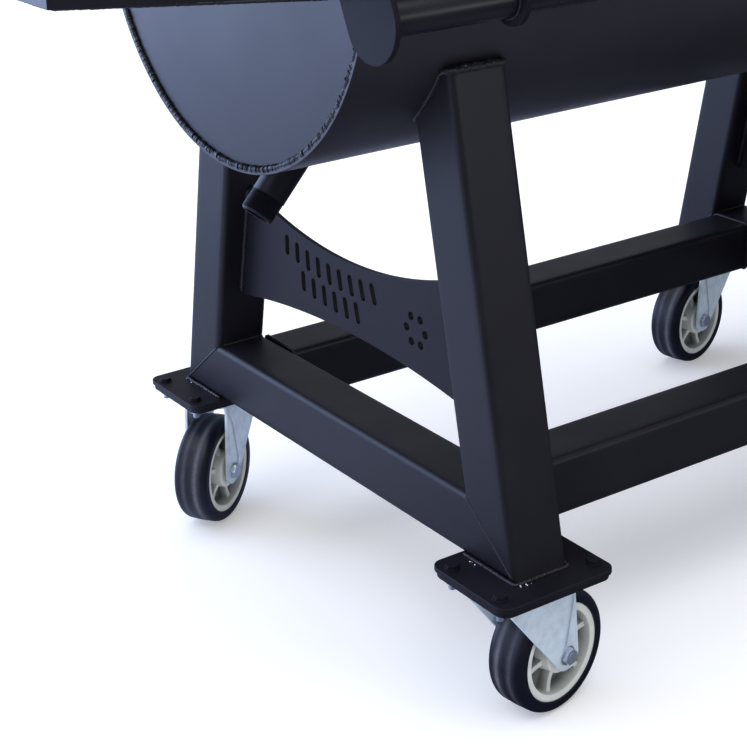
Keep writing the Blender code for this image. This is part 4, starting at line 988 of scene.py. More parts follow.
bolt_hole, hex_radius, plate_corner = 0.195 * inch, 0.315 * inch, 0.6 * inch
for corner in corners:
    low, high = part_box("base_plate_" + corner)
    mid_x, mid_y = (low.x + high.x) / 2, (low.y + high.y) / 2
    sign = -1 if mid_y < 0 else 1
    holes = [circle(bolt_hole, 24, spot) for spot in bolt_spots]
    outline = rounded_rectangle(high.x - low.x, high.y - low.y, plate_corner, steps=10)
    base_bm = bmesh.new()
    add_sheet(base_bm, Matrix.Translation((mid_x, mid_y, (low.z + high.z) / 2)), outline, holes,
              high.z - low.z, 0.0008)
    finish_piece("foot_plate_" + corner, base_bm, plate_black, "root", "base_plate_" + corner,
                 angle=20)

    under = low.z - weld_gap
    top_bm = bmesh.new()
    outline = rounded_rectangle(6.25 * inch, 5.1 * inch, plate_corner, steps=10)
    add_sheet(top_bm, Matrix.Translation((mid_x, mid_y, under - plate / 2)), outline, holes, plate,
              0.0010)
    race = [(0.0, 0.0), (1.42 * inch, 0.0), (1.42 * inch, -0.10 * inch),
            (1.30 * inch, -0.17 * inch), (0.0, -0.17 * inch)]
    lathe(top_bm, softened(race, 0.0012), Matrix.Translation((mid_x, mid_y, under - plate)), 56)
    finish_piece("caster_top_" + corner, top_bm, plate_black, "root", "caster_plate_" + corner,
                 angle=20)

    head_bm, nut_bm = bmesh.new(), bmesh.new()
    for k, (dx, dy) in enumerate(bolt_spots):
        x, y = mid_x + dx, mid_y + dy
        washer = sleeve(0.0, 0.36 * inch, 0.0, 0.055 * inch)
        lathe(head_bm, softened(washer, 0.0004), Matrix.Translation((x, y, high.z)), 32)
        add_hex(head_bm, x, y, high.z + 0.05 * inch, high.z + 0.205 * inch, hex_radius, 0.3 + k)
        nut_z = under - plate
        lathe(nut_bm, sleeve(0.0, 0.34 * inch, nut_z, nut_z - 0.04 * inch),
              Matrix.Translation((x, y, 0)), 32)
        add_hex(nut_bm, x, y, nut_z - 0.04 * inch, nut_z - 0.215 * inch, hex_radius, 0.9 + k)
        stud = [(0.0, nut_z - 0.2 * inch), (0.165 * inch, nut_z - 0.2 * inch)]
        for i in range(12):
            stud += [(0.185 * inch, nut_z - (0.21 + 0.025 * i) * inch),
                     (0.165 * inch, nut_z - (0.222 + 0.025 * i) * inch)]
        stud += [(0.15 * inch, nut_z - 0.52 * inch), (0.0, nut_z - 0.52 * inch)]
        lathe(nut_bm, stud, Matrix.Translation((x, y, 0)), 20)
    finish_piece("bolt_heads_" + corner, head_bm, plate_black, "root", angle=30)
    finish_piece("bolt_nuts_" + corner, nut_bm, bolt_zinc, "root", angle=30, slot="zinc_plate")

    # weld round the tube's foot, with a few bright balls of spatter beside it
    foot_x = leg_xs["left" if "left" in corner else "right"]
    left, right = foot_x - tube / 2 - 0.0006, foot_x + tube / 2 + 0.0006
    outer, inner = sign * (frame_half + 0.0004), sign * (frame_half - 3.6 * inch)
    seat_z = high.z + 0.0010
    loop = [(left, inner, seat_z), (left, outer - sign * 0.003, seat_z),
            (left + 0.003, outer, seat_z), (right - 0.003, outer, seat_z),
            (right, outer - sign * 0.003, seat_z), (right, inner, seat_z)]
    add_bead(frame_beads, loop, 0.0030, 101 + sign)
    spatter_bm = bmesh.new()
    luck = random.Random(corner)
    for _ in range(9):
        if luck.random() < 0.7:
            x, y = left + abs(luck.gauss(0, 0.008)), outer + sign * luck.uniform(0.002, 0.006)
        else:
            x = left - luck.uniform(0.002, 0.007)
            y = luck.uniform(min(inner, outer), max(inner, outer))
        size = luck.uniform(0.0005, 0.0012)
        bmesh.ops.create_icosphere(spatter_bm, subdivisions=2, radius=size,
                                   matrix=Matrix.Translation((x, y, high.z + size * 0.5)))
    finish_piece("weld_spatter_" + corner, spatter_bm, bare_spatter, "root", slot="zinc_plate")

finish_piece("frame_welds", frame_beads, weld_paint, "root", angle=70)

# ---------------------------------------------------------------- the casters
# 6 in swivel casters: a pressed zinc-plated fork on a ball race, a hex axle bolt,
# a moulded grey-white core with six spokes and a dark tread moulded round it.
headings = {"front_left": 9.5, "front_right": 20.0, "rear_left": 213.0, "rear_right": 192.0}
trail, wheel_radius = 1.6 * inch, 3.0 * inch
crown_top = 7.01 * inch


def moulded_plastic(name):
    """Grey-white nylon, mottled with dirt and specks, and darkened in its recess as painted shade.
    """
    plastic, tree, where = new_finish(name)
    cloud = noise(tree, where, 38.0, 5.0, 0.6)
    grit = noise(tree, where, 900.0, 2.0)
    dirt = spread(tree, cloud, 0.50, 0.78, 0.0, 0.55)
    speck = put(tree, "ShaderNodeGroup", {"node_tree": shop_dust}, Position=where, Specks=420.0,
                Amount=0.8)
    recess_shade_mask = put(tree, "ShaderNodeAttribute", {"attribute_name": "painted_recess_shade"}).outputs["Fac"]
    colour = mixed_colour(tree, dirt, (0.64, 0.66, 0.62, 1), (0.40, 0.41, 0.39, 1))
    colour = mixed_colour(tree, speck.outputs["Mask"], colour, (0.12, 0.12, 0.13, 1))
    recess_shade_mask = worked_out(tree, "MULTIPLY", recess_shade_mask, spread(tree, cloud, 0.2, 0.6, 0.65, 0.95))
    # painted shade: the recess between rim and hub is darkened nearly to black
    colour = mixed_colour(tree, recess_shade_mask, colour, (0.075, 0.080, 0.072, 1))
    gloss = spread(tree, cloud, 0.3, 0.7, 0.42, 0.58)
    feed(tree, colour, gloss, worked_out(tree, "ADD", grit, cloud), 0.15, 0.0004)
    return plastic


def tread_rubber(name):
    """Dark blue-black tread with floor dust pressed into its middle and grooves; its pale bands are
    partly painted highlight.
    """
    rubber, tree, where = new_finish(name, IOR=1.36)
    dust_and_highlight_mask = put(tree, "ShaderNodeAttribute", {"attribute_name": "dust_and_highlight"}).outputs["Fac"]
    cloud = noise(tree, where, 60.0, 6.0, 0.7)
    grit = noise(tree, where, 700.0, 3.0)
    dust = worked_out(tree, "MULTIPLY", dust_and_highlight_mask, spread(tree, cloud, 0.25, 0.65, 0.45, 1.0))
    dust = worked_out(tree, "MULTIPLY", dust, spread(tree, grit, 0.3, 0.6, 0.6, 1.0), clamp=True)
    colour = mixed_colour(tree, dust, (0.0035, 0.0045, 0.014, 1), (0.16, 0.16, 0.18, 1))
    feed(tree, colour, spread(tree, dust, 0.0, 1.0, 0.40, 0.75), grit, 0.25, 0.0004)
    return rubber


core_plastic = moulded_plastic("core_plastic")
tread_black = tread_rubber("tread_black")


def add_cheek(bm, at, side):
    """One pressed side of the fork, wide at the crown, round at the axle, creased."""
    rows, columns = 56, 56
    crease_shade_layer = bm.verts.layers.float.get("painted_crease_shade") or bm.verts.layers.float.new("painted_crease_shade")
    axle_u, axle_z, boss = trail, wheel_radius, 0.76 * inch
    top, shoulder = crown_top - 0.01 * inch, crown_top - 0.42 * inch
    left_top, right_top = -2.25 * inch, 2.05 * inch

    def tangent(u, v, way):
        """Where a line from (u, v) touches the round of the boss."""
        du, dv = u - axle_u, v - axle_z
        reach = math.hypot(du, dv)
        turn = math.atan2(dv, du) + way * math.acos(boss / reach)
        return axle_u + boss * math.cos(turn), axle_z + boss * math.sin(turn)

    left_touch = tangent(left_top, shoulder, 1)
    right_touch = tangent(right_top, shoulder, -1)

    def edge(z, corner_u, touch, way):
        if z >= shoulder:
            return corner_u
        if z >= touch[1]:
            share = (shoulder - z) / (shoulder - touch[1])
            return corner_u + (touch[0] - corner_u) * share
        drop = max(-boss, min(boss, z - axle_z))
        return axle_u + way * math.sqrt(max(0.0, boss * boss - drop * drop))

    skins = []
    for layer in (0, 1):
        grid = []
        for j in range(rows + 1):
            t = j / rows
            low = axle_z - boss
            z = top + (low - top) * (0.25 * t + 0.75 * math.sin(t * math.pi / 2))
            u0, u1 = edge(z, left_top, left_touch, -1), edge(z, right_top, right_touch, 1)
            row = []
            for i in range(columns + 1):
                s = i / columns
                u = u0 + (u1 - u0) * s
                fade = max(0.0, min(1.0, (top - z) / (1.1 * inch)))
                crease_u = (1.98 - 0.85 * min(1.0, (top - z) / (top - axle_z))) * inch
                if u < crease_u:
                    rib = 1.0 - (crease_u - u) / (1.5 * inch)
                else:
                    rib = (u1 - u) / max(u1 - crease_u, 0.001)
                fold = math.exp(-((u - crease_u) / (0.20 * inch)) ** 2)
                rib = (0.45 * max(0.0, min(1.0, rib)) + 0.65 * fold) * fade
                rib *= max(0.0, min(1.0, (z - axle_z + 0.1 * inch) / (0.8 * inch)))
                lip = (abs(2 * s - 1) ** 6) * 0.05 * inch * fade
                out = 1.145 * inch + 0.19 * inch * rib + lip * 0.6 - 0.02 * inch * (1 - fade)
                out += 0.13 * inch * layer
                vert = bm.verts.new(at @ Vector((u, side * out, z)))
                # the crease's painted shade line, which the zinc finish darkens
                line = math.exp(-((u - crease_u) / (0.085 * inch)) ** 2) * fade
                vert[crease_shade_layer] = line if z > axle_z else 0.0
                row.append(vert)
            grid.append(row)
        skins.append(grid)
    inner, outer = skins
    for grid in skins:
        for j in range(rows):
            for i in range(columns):
                bm.faces.new((grid[j][i], grid[j][i + 1], grid[j + 1][i + 1], grid[j + 1][i]))
    for j in range(rows):
        bm.faces.new((inner[j][0], inner[j + 1][0], outer[j + 1][0], outer[j][0]))
        bm.faces.new((inner[j][columns], inner[j + 1][columns], outer[j + 1][columns],
                      outer[j][columns]))
    for i in range(columns):
        bm.faces.new((inner[0][i], inner[0][i + 1], outer[0][i + 1], outer[0][i]))
        bm.faces.new((inner[rows][i], inner[rows][i + 1], outer[rows][i + 1], outer[rows][i]))


def add_tread(bm, at):
    """Round-shouldered tread with two shallow grooves; its middle is marked for dust and painted
    highlight.
    """
    half, deep, round_over = 1.0 * inch, 2.4 * inch, 0.38 * inch
    profile = [(deep, -half), (wheel_radius - 0.42 * inch, -half)]
    for i in range(9):
        turn = math.pi / 2 * i / 8
        profile.append((wheel_radius - round_over + 0.36 * inch * math.sin(turn),
                        -half + round_over - round_over * math.cos(turn)))
    crown = []
    for i in range(13):
        v = -0.60 + 1.20 * i / 12
        groove = 0.035 * (math.exp(-((abs(v) - 0.36) / 0.045) ** 2))
        crown.append((wheel_radius - (0.02 * (v / 0.6) ** 2 + groove) * inch, v * inch))
    profile += crown
    profile += [(radius, -height) for radius, height in reversed(profile[:11])]
    mark = bm.verts.layers.float.new("dust_and_highlight")
    lathe(bm, profile, at, 96, closed=True)
    back = at.inverted()
    for vert in bm.verts:
        place = back @ vert.co
        radius = math.hypot(place.x, place.y)
        on_crown = max(0.0, min(1.0, (0.74 * inch - abs(place.z)) / (0.10 * inch)))
        # pale bands at the grooves, stronger on one side: floor dust and painted highlight
        band = 0.10 + 0.90 * math.exp(-((abs(place.z) - 0.36 * inch) / (0.12 * inch)) ** 2)
        rolled = on_crown * band * (1.0 if place.z < 0 else 0.45)
        vert[mark] = rolled if radius > wheel_radius - 0.3 * inch else 0.0


def add_core(bm, at):
    """The wheel's rim, web and hub with six ribs a side; its recess is marked for painted shade."""
    rim = [(2.40, 0.93), (2.40, -0.93), (2.20, -0.97), (2.04, -0.93), (1.98, -0.14), (1.10, -0.12),
           (1.04, -0.30), (0.99, -0.94), (0.93, -1.0), (0.275, -1.0), (0.275, 1.0), (0.93, 1.0),
           (0.99, 0.94), (1.04, 0.30), (1.10, 0.12), (1.98, 0.14), (2.04, 0.93), (2.20, 0.97)]
    rim = [(radius * inch, height * inch) for radius, height in rim]
    lathe(bm, rim, at, 96, closed=True)
    base, foot, tip, steps = 0.1 * inch, 0.90 * inch, 2.10 * inch, 8
    for k in range(6):
        spin = at @ Matrix.Rotation(math.tau * k / 6 + 0.26, 4, "Z")
        for face in (-1, 1):
            left, right, left_low, right_low = [], [], [], []
            for i in range(steps + 1):
                t = i / steps
                u = foot + (tip - foot) * t
                half = (0.16 + 0.05 * abs(2 * t - 1) ** 5) * inch
                height = face * (0.66 - 0.08 * math.sin(math.pi * t)) * inch
                for row, v, z in ((left, half * 0.84, height), (right, -half * 0.84, height),
                                  (left_low, half, face * base), (right_low, -half, face * base)):
                    row.append(bm.verts.new(spin @ Vector((u, v, z))))
            for i in range(steps):
                for a, b in ((left, right), (left, left_low), (right, right_low),
                             (left_low, right_low)):
                    bm.faces.new((a[i], a[i + 1], b[i + 1], b[i]))
            bm.faces.new((left[0], right[0], right_low[0], left_low[0]))
            bm.faces.new((left[steps], right[steps], right_low[steps], left_low[steps]))
    mark = bm.verts.layers.float.new("painted_recess_shade")
    back = at.inverted()
    for vert in bm.verts:
        place = back @ vert.co
        between = 1.05 * inch < math.hypot(place.x, place.y) < 2.0 * inch
        shade = max(0.0, min(1.0, (0.62 * inch - abs(place.z)) / (0.4 * inch)))
        vert[mark] = shade if between else 0.0


def move_to(bm, at):
    bmesh.ops.transform(bm, matrix=at, verts=bm.verts)


for corner in corners:
    low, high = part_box("base_plate_" + corner)
    pivot = Matrix.Translation(((low.x + high.x) / 2, (low.y + high.y) / 2, 0.0))
    pivot = pivot @ Matrix.Rotation(math.radians(headings[corner]), 4, "Z")
    fork_bm = bmesh.new()
    crown = rounded_rectangle(3.9 * inch, 2.50 * inch, 0.45 * inch, (0.1 * inch, 0.0), steps=8)
    add_sheet(fork_bm, pivot @ Matrix.Translation((0, 0, crown_top - 0.08 * inch)), crown, [],
              0.16 * inch, 0.0012)
    dish = [(0.0, crown_top - 0.30 * inch), (0.55 * inch, crown_top - 0.30 * inch),
            (0.95 * inch, crown_top - 0.16 * inch)]
    lathe(fork_bm, dish + [(0.95 * inch, crown_top - 0.12 * inch), (0.0, crown_top - 0.12 * inch)],
          pivot, 40)
    for side in (-1, 1):
        add_cheek(fork_bm, pivot, side)
    bmesh.ops.remove_doubles(fork_bm, verts=fork_bm.verts, dist=5e-5)
    finish_piece("fork_" + corner, fork_bm, fork_zinc, "caster_" + corner, "caster_fork_" + corner,
                 angle=45, slot="zinc_plate")

    axle_bm = bmesh.new()
    across = pivot @ Matrix.Translation((trail, 0, wheel_radius))
    across = across @ Matrix.Rotation(math.pi / 2, 4, "X")
    add_rod(axle_bm, (0, 0, -1.5 * inch), (0, 0, 1.5 * inch), 0.245 * inch, 24)
    for face in (-1, 1):
        washer = sleeve(0.0, 0.47 * inch, face * 1.285 * inch, face * 1.33 * inch)
        lathe(axle_bm, washer, Matrix.Identity(4), 36)
        add_hex(axle_bm, 0, 0, face * 1.32 * inch, face * 1.57 * inch, 0.41 * inch, 0.2)
    axle_end = [(0, 1.56 * inch), (0.24 * inch, 1.56 * inch), (0.21 * inch, 1.588 * inch),
                (0, 1.588 * inch)]
    lathe(axle_bm, axle_end, Matrix.Identity(4), 24)
    move_to(axle_bm, across)
    finish_piece("axle_" + corner, axle_bm, bolt_zinc, "caster_" + corner, "axle_bolt_" + corner,
                 angle=30, slot="zinc_plate")

    core_bm = bmesh.new()
    add_core(core_bm, across)
    finish_piece("core_" + corner, core_bm, core_plastic, "wheel_" + corner, "wheel_core_" + corner,
                 edge=0.0010, segments=3, angle=28, slot="wheel_core")
    tread_bm = bmesh.new()
    add_tread(tread_bm, across)
    finish_piece("tread_" + corner, tread_bm, tread_black, "wheel_" + corner,
                 "wheel_tread_" + corner, angle=50, slot="wheel_tread")

# -------------------------------------------------------------------- the lid
# The rolled cover laps the doorway on all sides. Two cranked flat arms, the pipe
# handle with its brackets and a torque tube at the back are welded to swing with it.
hinge_low, hinge_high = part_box("lid_torque_tube")
hinge = next(Vector(joint["pos_m"]) for joint in frame["joints"] if joint["name"] == "lid_hinge")
lid_low, lid_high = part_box("lid_skin")
lid_paint = satin_black("lid_paint", rough=0.37)
lid_angles = [3.0 + 113.0 * i / 60 for i in range(61)]
cover_bm = bmesh.new()
cover_outer = chamber_radius + weld_gap + plate
rolled_plate(cover_bm, [lid_low.x, lid_high.x], lid_angles, cover_outer, plate, chamber_axis)
finish_piece("lid_cover", cover_bm, [lid_paint, smoked_steel], "lid", "lid_skin", edge=0.0010)


def on_chamber(angle, radius):
    turn = math.radians(angle)
    return -radius * math.cos(turn), chamber_axis + radius * math.sin(turn)


def bar_outline(points, half, turns=14):
    """The outline of a flat bar bent along a line, round at both ends."""
    line = [Vector(point) for point in points]
    left, right = [], []
    for i, point in enumerate(line):
        before = (point - line[i - 1]).normalized() if i else (line[1] - point).normalized()
        after = (line[i + 1] - point).normalized() if i + 1 < len(line) else before
        across = Vector((-(before + after).y, (before + after).x)).normalized()
        reach = half / across.dot(Vector((-before.y, before.x)))
        left.append(point + across * reach)
        right.append(point - across * reach)
    outline = list(right)
    for centre, start, side in ((line[-1], right[-1], left), (line[0], left[0], None)):
        outline += [centre + Matrix.Rotation(math.pi * i / turns, 2) @ (start - centre)
                    for i in range(1, turns)]
        if side:
            outline += list(reversed(side))
    return [tuple(point) for point in outline]


handle_yz = (-13.51 * inch, 33.12 * inch)
elbow_yz = (-9.3 * inch, 42.5 * inch)
weight_turn = math.radians(40.0)
weight_yz = (hinge.y + 8.0 * inch * math.cos(weight_turn),
             hinge.z + 8.0 * inch * math.sin(weight_turn))
arm_half = 1.65 * inch
arm_paint = satin_black("arm_paint", rough=0.50, grain=800.0, dust=0.08, ior=1.22)
arm_line = [handle_yz, elbow_yz, (hinge.y, hinge.z), weight_yz]
lid_beads = bmesh.new()
for side in ("left", "right"):
    low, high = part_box("lid_arm_" + side)
    arm_bm = bmesh.new()
    add_sheet(arm_bm, upright((low.x + high.x) / 2), bar_outline(arm_line, arm_half), [], plate,
              0.0010)
    finish_piece("lid_arm_bar_" + side, arm_bm, arm_paint, "lid", "lid_arm_" + side, angle=20)


def facing_x(x, y, z):
    """Lays a turned piece along X at a place."""
    return Matrix.Translation((x, y, z)) @ Matrix.Rotation(math.pi / 2, 4, "Y")


# The handle is a length of pipe, a size up in the sleeves outside the brackets.
bar_low, bar_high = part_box("lid_handle_bar")
handle_half = (bar_high.x - bar_low.x) / 2
bracket_at = 19.55 * inch
thick, thin = 0.72 * inch, 0.65 * inch
handle_bm = bmesh.new()
step_at = bracket_at + plate / 2 + 0.0006
taper_at = step_at + 0.10 * inch
handle_bore = thin - 0.14 * inch
handle_profile = [(handle_bore, -handle_half), (thick, -handle_half), (thick, -taper_at),
                  (thin, -step_at), (thin, step_at), (thick, taper_at), (thick, handle_half),
                  (handle_bore, handle_half)]
lathe(handle_bm, softened(handle_profile, 0.0008), facing_x(chamber_mid, *handle_yz), 64,
      closed=True)
handle_paint = satin_black("handle_paint", rough=0.30, grain=1100.0, bump=0.04, dust=0.05)
finish_piece("handle_pipe", handle_bm, handle_paint, "lid", "lid_handle_bar")
bracket_foot = on_chamber(22.0, cover_outer + 0.1 * inch)


def fit_to_cover(piece, x):
    """Trim a piece at x to the cover's round, then ease its edges."""
    trim_bm = bmesh.new()
    add_rod(trim_bm, (x - 0.05, 0, chamber_axis), (x + 0.05, 0, chamber_axis), cover_outer + 0.0004,
            144)
    round_off(carve(piece, trim_bm), 0.0004)


def cover_seam(x, start, sweep, steps):
    """Points along the cover at x, from one angle through a sweep."""
    return [(x, *on_chamber(start + sweep * i / steps, cover_outer + 0.0008))
            for i in range(steps + 1)]


for side, sign in (("left", -1), ("right", 1)):
    bracket_x = chamber_mid + sign * bracket_at
    bracket_bm = bmesh.new()
    bracket_loop = bar_outline([handle_yz, bracket_foot], 1.1 * inch)
    add_sheet(bracket_bm, upright(bracket_x), bracket_loop, [], plate, 0.0010)
    fit_to_cover(finish_piece("handle_bracket_" + side, bracket_bm, arm_paint, "lid"), bracket_x)
    for face in (-1, 1):
        x = bracket_x + face * (plate / 2 + 0.0008)
        add_bead(lid_beads, cover_seam(x, 16.5, 11.0, 12), 0.0026, 121 + sign + face)
        grip_radius = (thick if face * sign > 0 else thin) + 0.0008
        turn_up = hoop(x + face * 0.0004, *handle_yz, grip_radius, 60)
        add_bead(lid_beads, turn_up, 0.0020, 125 + sign + face, closed=True)
for sign in (-1, 1):
    rim = hoop(chamber_mid + sign * (handle_half - 0.0012), *handle_yz, thick + 0.0006, 60)
    add_bead(lid_beads, rim, 0.0021, 131 + sign, closed=True)

# The torque tube runs through bearings on the pipe, strapped to the lid's edge.
torque_radius = 0.5 * inch
torque_bm = bmesh.new()
torque_half = (hinge_high.x - hinge_low.x) / 2
torque_profile = sleeve(0.37 * inch, torque_radius, -torque_half, torque_half)
torque_at = facing_x(chamber_mid, hinge.y, hinge.z)
lathe(torque_bm, softened(torque_profile, 0.0006), torque_at, 48, closed=True)
finish_piece("torque_tube", torque_bm, arm_paint, "lid", "lid_torque_tube")
strap_foot = on_chamber(105.0, cover_outer + 0.2 * inch)
strap_thick = 0.375 * inch
for i, name in ((-1, "left"), (0, "middle"), (1, "right")):
    strap_x = chamber_mid + i * 19.0 * inch
    strap_bm = bmesh.new()
    strap_eye = circle(torque_radius + 0.0001, 32, (hinge.y, hinge.z))
    strap_loop = bar_outline([strap_foot, (hinge.y, hinge.z)], 0.8 * inch)
    add_sheet(strap_bm, upright(strap_x), strap_loop, [strap_eye], strap_thick, 0.0010)
    fit_to_cover(finish_piece("hinge_strap_" + name, strap_bm, arm_paint, "lid"), strap_x)
    for face in (-1, 1):
        x = strap_x + face * (strap_thick / 2 + 0.0006)
        add_bead(lid_beads, cover_seam(x, 101.5, 9.0, 10), 0.0024, 141 + i + face)
        eye = hoop(x + face * 0.0002, hinge.y, hinge.z, torque_radius + 0.0008, 40)
        add_bead(lid_beads, eye, 0.0018, 151 + i + face, closed=True)
finish_piece("lid_welds", lid_beads, weld_paint, "lid", angle=70)

weight_low, weight_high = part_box("counterweight")
weight_half = (weight_high.x - weight_low.x) / 2
weight_bm = bmesh.new()
weight_profile = softened(sleeve(0.0, 1.25 * inch, -weight_half, weight_half), 0.0018)
lathe(weight_bm, weight_profile, facing_x(chamber_mid, *weight_yz), 72)
finish_piece("counterweight_bar", weight_bm, arm_paint, "lid", "counterweight")

bearing_angle = 119.0
for side in ("left", "right"):
    low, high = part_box("hinge_bearing_" + side)
    x = (low.x + high.x) / 2
    reach_low, reach_high = chamber_radius + 0.05 * inch, 13.05 * inch
    reach_mid = (reach_low + reach_high) / 2
    middle = on_chamber(bearing_angle, reach_mid)
    block_loop = rounded_rectangle(1.9 * inch, reach_high - reach_low, 0.35 * inch, steps=8)
    tilt = Matrix.Rotation(math.radians(90.0 - bearing_angle), 4, "X")
    tilt = Matrix.Translation((x, *middle)) @ tilt
    bearing_eye = circle(torque_radius + 0.0008, 40, (0.0, 12.2 * inch - reach_mid))
    bearing_bm = bmesh.new()
    add_sheet(bearing_bm, tilt @ upright(0.0), block_loop, [bearing_eye], 1.0 * inch, 0.0012)
    finish_piece("bearing_block_" + side, bearing_bm, arm_paint, "root", "hinge_bearing_" + side,
                 angle=20)

# --------------------------------------------------------- the lid thermometer
# A 3 in dial in a polished bezel on a short neck: white face, black graduations,
# a red pointer and a flat glass.
dial_angle = 38.0
dial_seat = Vector((chamber_mid, *on_chamber(dial_angle, cover_outer + 0.0012)))
dial_turn = math.radians(dial_angle)
dial_out = Vector((0.0, -math.cos(dial_turn), math.sin(dial_turn)))
dial_up = Vector((0.0, math.sin(dial_turn), math.cos(dial_turn)))
dial_right = dial_up.cross(dial_out)
dial_turned = Matrix((dial_right, dial_up, dial_out)).transposed().to_4x4()
dial_at = Matrix.Translation(dial_seat) @ dial_turned


def plain_finish(name, colour, rough, metal=0.0, cloudy=0.06):
    """One colour broken by a faint cloudiness, for small made parts."""
    finish, tree, where = new_finish(name, Metallic=metal)
    cloud = noise(tree, where, 90.0, 4.0)
    darker = tuple(channel * (1.0 - cloudy * 3) for channel in colour)
    shade = mixed_colour(tree, cloud, (*darker, 1), (*colour, 1))
    feed(tree, shade, spread(tree, cloud, 0.3, 0.7, rough, rough + 0.08))
    return finish


polished = plain_finish("polished_bezel", (0.72, 0.72, 0.72), 0.12, 1.0)
dial_white = plain_finish("dial_white", (0.82, 0.82, 0.80), 0.5)
dial_black = plain_finish("dial_black", (0.015, 0.015, 0.015), 0.5)
pointer_red = plain_finish("pointer_red", (0.55, 0.02, 0.015), 0.4)
dial_glass, glass_tree, glass_where = new_finish("dial_glass", Alpha=0.12,
                                                 **{"Base Color": (1, 1, 1, 1)})
smudges = spread(glass_tree, noise(glass_tree, glass_where, 60.0, 4.0), 0.4, 0.7, 0.02, 0.12)
glass_tree.links.new(smudges, glass_tree.nodes["Principled BSDF"].inputs["Roughness"])

rim = 1.5 * inch
bezel_bm = bmesh.new()
bezel = [(0.0, 0.0), (0.36 * inch, 0.0), (0.36 * inch, 0.33 * inch), (1.33 * inch, 0.38 * inch),
         (rim, 0.47 * inch), (rim, 0.80 * inch), (rim - 0.10 * inch, 0.90 * inch),
         (rim - 0.20 * inch, 0.895 * inch), (rim - 0.22 * inch, 0.74 * inch), (0.0, 0.74 * inch)]
lathe(bezel_bm, softened(bezel, 0.0010), dial_at, 96)
neck_bm = bmesh.new()
add_hex(neck_bm, 0, 0, 0.03 * inch, 0.28 * inch, 0.5 * inch)
move_to(neck_bm, dial_at)
finish_piece("dial_case", bezel_bm, polished, "lid", "thermometer", slot="dial_steel")
finish_piece("dial_neck_nut", neck_bm, bolt_zinc, "lid", angle=30, slot="zinc_plate")
face_bm = bmesh.new()
lathe(face_bm, sleeve(0.0, 1.27 * inch, 0.745 * inch, 0.752 * inch), dial_at, 72)
finish_piece("dial_face", face_bm, dial_white, "lid", slot="dial_steel")
ticks_bm = bmesh.new()
for i in range(41):
    turn = math.radians(225.0 - 270.0 * i / 40)
    long = 0.16 if i % 4 == 0 else 0.09
    outer, inner = 1.21 * inch, (1.21 - long) * inch
    mid = (outer + inner) / 2
    place = (mid * math.cos(turn), mid * math.sin(turn), 0.7545 * inch)
    width = 0.030 if i % 4 == 0 else 0.014
    add_block(ticks_bm, place, (outer - inner, width * inch, 0.004 * inch),
              Matrix.Rotation(turn, 3, "Z"))
move_to(ticks_bm, dial_at)
finish_piece("dial_ticks", ticks_bm, dial_black, "lid", slot="dial_steel")
numbers_bm = bmesh.new()
for k in range(5):
    turn = math.radians(225.0 - 270.0 * k / 4)
    text = bpy.data.curves.new("number", "FONT")
    text.body = str(100 + 100 * k)
    text.size = 0.24 * inch
    text.extrude = 0.0015 * inch
    text.align_x, text.align_y = "CENTER", "CENTER"
    draft = stand("number", text)
    mesh = settled_mesh(draft)
    bpy.data.objects.remove(draft, do_unlink=True)
    number_ring = 0.84 * inch
    mesh.transform(Matrix.Translation((number_ring * math.cos(turn), number_ring * math.sin(turn),
                                       0.7555 * inch)))
    numbers_bm.from_mesh(mesh)
move_to(numbers_bm, dial_at)
finish_piece("dial_numbers", numbers_bm, dial_black, "lid", slot="dial_steel")
pointer_bm = bmesh.new()
needle = [(-0.30, -0.035), (-0.30, 0.035), (0.0, 0.045), (1.0, 0.006), (1.0, -0.006), (0.0, -0.045)]
needle = [(u * inch, v * inch) for u, v in needle]
needle_at = Matrix.Translation((0, 0, 0.785 * inch)) @ Matrix.Rotation(math.radians(215.0), 4, "Z")
add_sheet(pointer_bm, needle_at, needle, [], 0.015 * inch, 0.0001)
lathe(pointer_bm, [(0.0, 0.76 * inch), (0.09 * inch, 0.76 * inch), (0.09 * inch, 0.81 * inch),
                   (0.0, 0.82 * inch)], Matrix.Identity(4), 24)
move_to(pointer_bm, dial_at)
finish_piece("dial_pointer", pointer_bm, pointer_red, "lid", slot="dial_steel")
pane_bm = bmesh.new()
lathe(pane_bm, sleeve(0.0, 1.29 * inch, 0.855 * inch, 0.875 * inch), dial_at, 64)
finish_piece("dial_pane", pane_bm, dial_glass, "lid", slot="dial_steel")

# ---------------------------------------------------------- the cooking grates
# Two lift-out grates of round bar over flat side bars, the steel brown with use.


def seasoned_steel(name, colour, rust):
    """Bare steel darkened by heat, browned in patches."""
    steel, tree, where = new_finish(name, Metallic=0.55)
    cloud = noise(tree, where, 26.0, 6.0, 0.7)
    grit = noise(tree, where, 520.0, 3.0)
    shade = mixed_colour(tree, spread(tree, cloud, 0.42, 0.68), (*colour, 1), (*rust, 1))
    feed(tree, shade, spread(tree, cloud, 0.3, 0.7, 0.42, 0.72), grit, 0.35, 0.0006)
    return steel


grate_steel = seasoned_steel("grate_steel", (0.16, 0.15, 0.14), (0.07, 0.045, 0.03))
fire_steel = seasoned_steel("fire_steel", (0.13, 0.12, 0.12), (0.14, 0.075, 0.045))


